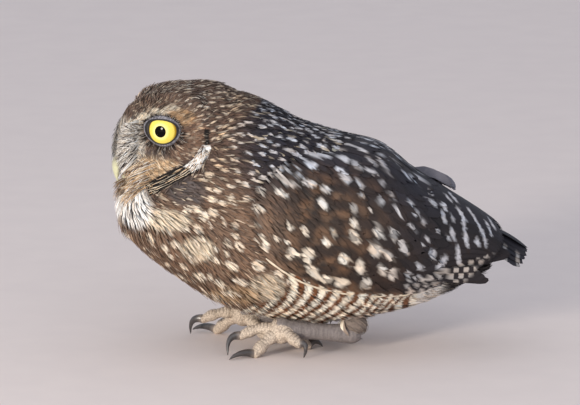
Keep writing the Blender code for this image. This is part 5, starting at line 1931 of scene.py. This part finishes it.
def make_bristles(search, material):
    """Bristles of the face: lores, cheek, chin, lashes and the ruff, a piece for each side."""

    def strand(coat, side, start, end, arch, half, colour):
        """One that stands off the face between two places of the head's frame."""
        root = search.find_nearest(on_side(start, side))[0]
        tip = on_side(end, side)
        out = (on_side((0.4, 0.9, 0.1), side) - HEAD_CENTRE).normalized()
        middle = root.lerp(tip, 0.5) + out * arch
        tone = (*varied(colour, 0.12), 0.0)
        size = (half, half * 0.5, 0.1, 0.0)
        coat.add((root, middle, tip), (out,) * 3, size, unwrap_place(root, *HEAD_MAP), tone)

    def laid(coat, start, end, rise, half, colour):
        """One that follows the skin."""
        root, normal = search.find_nearest(start)[:2]
        tip, out = search.find_nearest(end)[:2]
        middle = root.lerp(tip, 0.5) + (normal + out) * 0.5 * (rise + 0.6)
        tone = (*varied(colour, 0.12), 0.0)
        points, facing = (root, middle, tip + out * rise), (normal, normal, out)
        coat.add(points, facing, (half, 0.12, 0.2, 0.0), unwrap_place(root, *HEAD_MAP), tone)

    def lay_ruff_feather(coat, side):
        """White behind the ear, then black with cream streaks down to the throat."""
        t = rng.random() ** 0.8
        share = rng.uniform(-1.0, 1.0)
        is_white = t < RUFF_WHITE
        run = (share * (RUFF_HALF[0] + RUFF_HALF[1] * t) + 0.8 * math.sin(11.0 * t)) / 2.5
        light = run - math.floor(run) < (0.72 if is_white else 0.3)
        if light and t > RUFF_WHITE and rng.random() < 0.55:
            return
        ends = []
        for along in (t, min(t + 0.2, 1.0)):
            off = share * ruff_half(along) + (rng.normal(0, 0.7) if is_white else 0.0)
            ends.append(on_side(ruff_spot(along) + Vector((0.6 * off, -0.2 * off, 0.75 * off)), side))
        streak = picked(((WHITE, 0.8), (BUFF, 0.2)) if is_white else ((CREAM, 0.7), (BUFF, 0.3)))
        if light:
            laid(coat, *ends, 1.1, 0.13, streak)
        else:
            laid(coat, *ends, 1.0, 0.24, GREY if t < RUFF_WHITE - 0.1 else BLACK)

    for label, side in HEAD_SIDES:
        coat = Coat("face_bristles_" + label, 3, BRISTLE_STOPS)
        for bristle, count in FACE_BRISTLES:
            for _ in range(count):
                strand(coat, side, *bristle())
        for _ in range(LASHES):
            turn = 2 * math.pi * rng.random()
            below = smooth_step(0.35, -0.35, math.sin(turn))
            far = 2.7 + 0.8 * rng.random() + 3.6 * below * rng.random()
            tone = picked(LASH_TONES)
            laid(coat, by_lids(side, turn, 1.9, 7.0), by_lids(side, turn, far, 6.0), 0.8, 0.1, tone)
        for k in range(3):  # long white ones over the gape
            start, end = (31.0, 11.0, -7.0 - k), (38.5 + k, 5.5, -18.0 - 1.5 * k)
            strand(coat, side, start, end, 5.0, 0.16, WHITE)
        for _ in range(RUFF_FEATHERS):
            lay_ruff_feather(coat, side)
        coat.finish(material, "pale_plumage")


# ---- studio ----

VIEW_WIDTH = 301.6  # millimetres across the picture at the owl
VIEW_UP = math.radians(11.0)
VIEW_TARGET = Vector((-15.6, 0.0, 74.6 / math.cos(VIEW_UP))) * MM
LAMP_TARGET = (-0.02, 0.0, 0.06)
SKY_COLOUR, SKY_STRENGTH = (0.84, 0.89, 1.0, 1.0), 0.7
LENS, SENSOR = 400.0, 36.0


def aimed(obj, place, target):
    obj.location = Vector(place)
    obj.rotation_euler = (Vector(target) - Vector(place)).to_track_quat("-Z", "Y").to_euler()


def make_camera():
    """Long lens from the left side, a little above the owl, as the photo is taken."""
    data = bpy.data.cameras.new("camera")
    data.lens, data.sensor_width = LENS, SENSOR
    data.clip_start, data.clip_end = 0.1, 60.0
    camera = bpy.data.objects.new("camera", data)
    bpy.context.scene.collection.objects.link(camera)
    distance = VIEW_WIDTH * MM / 2 / (SENSOR / 2 / LENS)
    back = Vector((0, -math.cos(VIEW_UP), math.sin(VIEW_UP)))
    aimed(camera, VIEW_TARGET + back * distance, VIEW_TARGET)
    bpy.context.scene.camera = camera


def add_area(name, place, size, power, colour):
    data = bpy.data.lights.new(name, "AREA")
    data.shape, data.size, data.energy, data.color = "DISK", size, power, colour
    lamp = bpy.data.objects.new(name, data)
    bpy.context.scene.collection.objects.link(lamp)
    aimed(lamp, place, LAMP_TARGET)


def make_studio():
    """Plain pale floor, a low warm key lamp, a cooler fill and a soft sky."""
    bm = bmesh.new()
    bmesh.ops.create_grid(bm, x_segments=1, y_segments=1, size=6000.0)
    floor = new_piece("floor", bm, recalc=False)
    floor.data.materials.append(floor_material())
    world = bpy.data.worlds.new("studio")
    world.use_nodes = True
    background = world.node_tree.nodes["Background"]
    background.inputs[0].default_value = SKY_COLOUR
    background.inputs[1].default_value = SKY_STRENGTH
    bpy.context.scene.world = world
    add_area("key", (-1.2, -1.7, 0.42), 0.42, 42.0, (1.0, 0.93, 0.83))
    add_area("fill", (0.5, -2.2, 1.4), 1.6, 8.0, (0.84, 0.9, 1.0))
    bpy.context.scene.view_settings.view_transform = "Standard"


# ---- all together ----

make_camera()
make_studio()
skin_piece = make_skin()
feathers = feather_material("owl_feathers")
vanes = feather_material("owl_vanes", 0.6, 0.25, 0.35)
skin_search = make_coat(skin_piece, feathers, vanes)
make_bristles(skin_search, feathers)
eye_look, lid_look, bill_look = eye_material(), lid_material(), bill_material()
foot_look, claw_look = foot_material(), claw_material()
for label, side in HEAD_SIDES:
    make_eye(label, side, eye_look)
    make_lids(label, side, lid_look)
make_bill(bill_look)
for label, side in SIDES:
    make_leg(label, side, foot_look)
    make_claws(label, side, claw_look)
    make_coverts(label, side, vanes)
    make_flight(label, side, vanes)
make_tail(vanes)
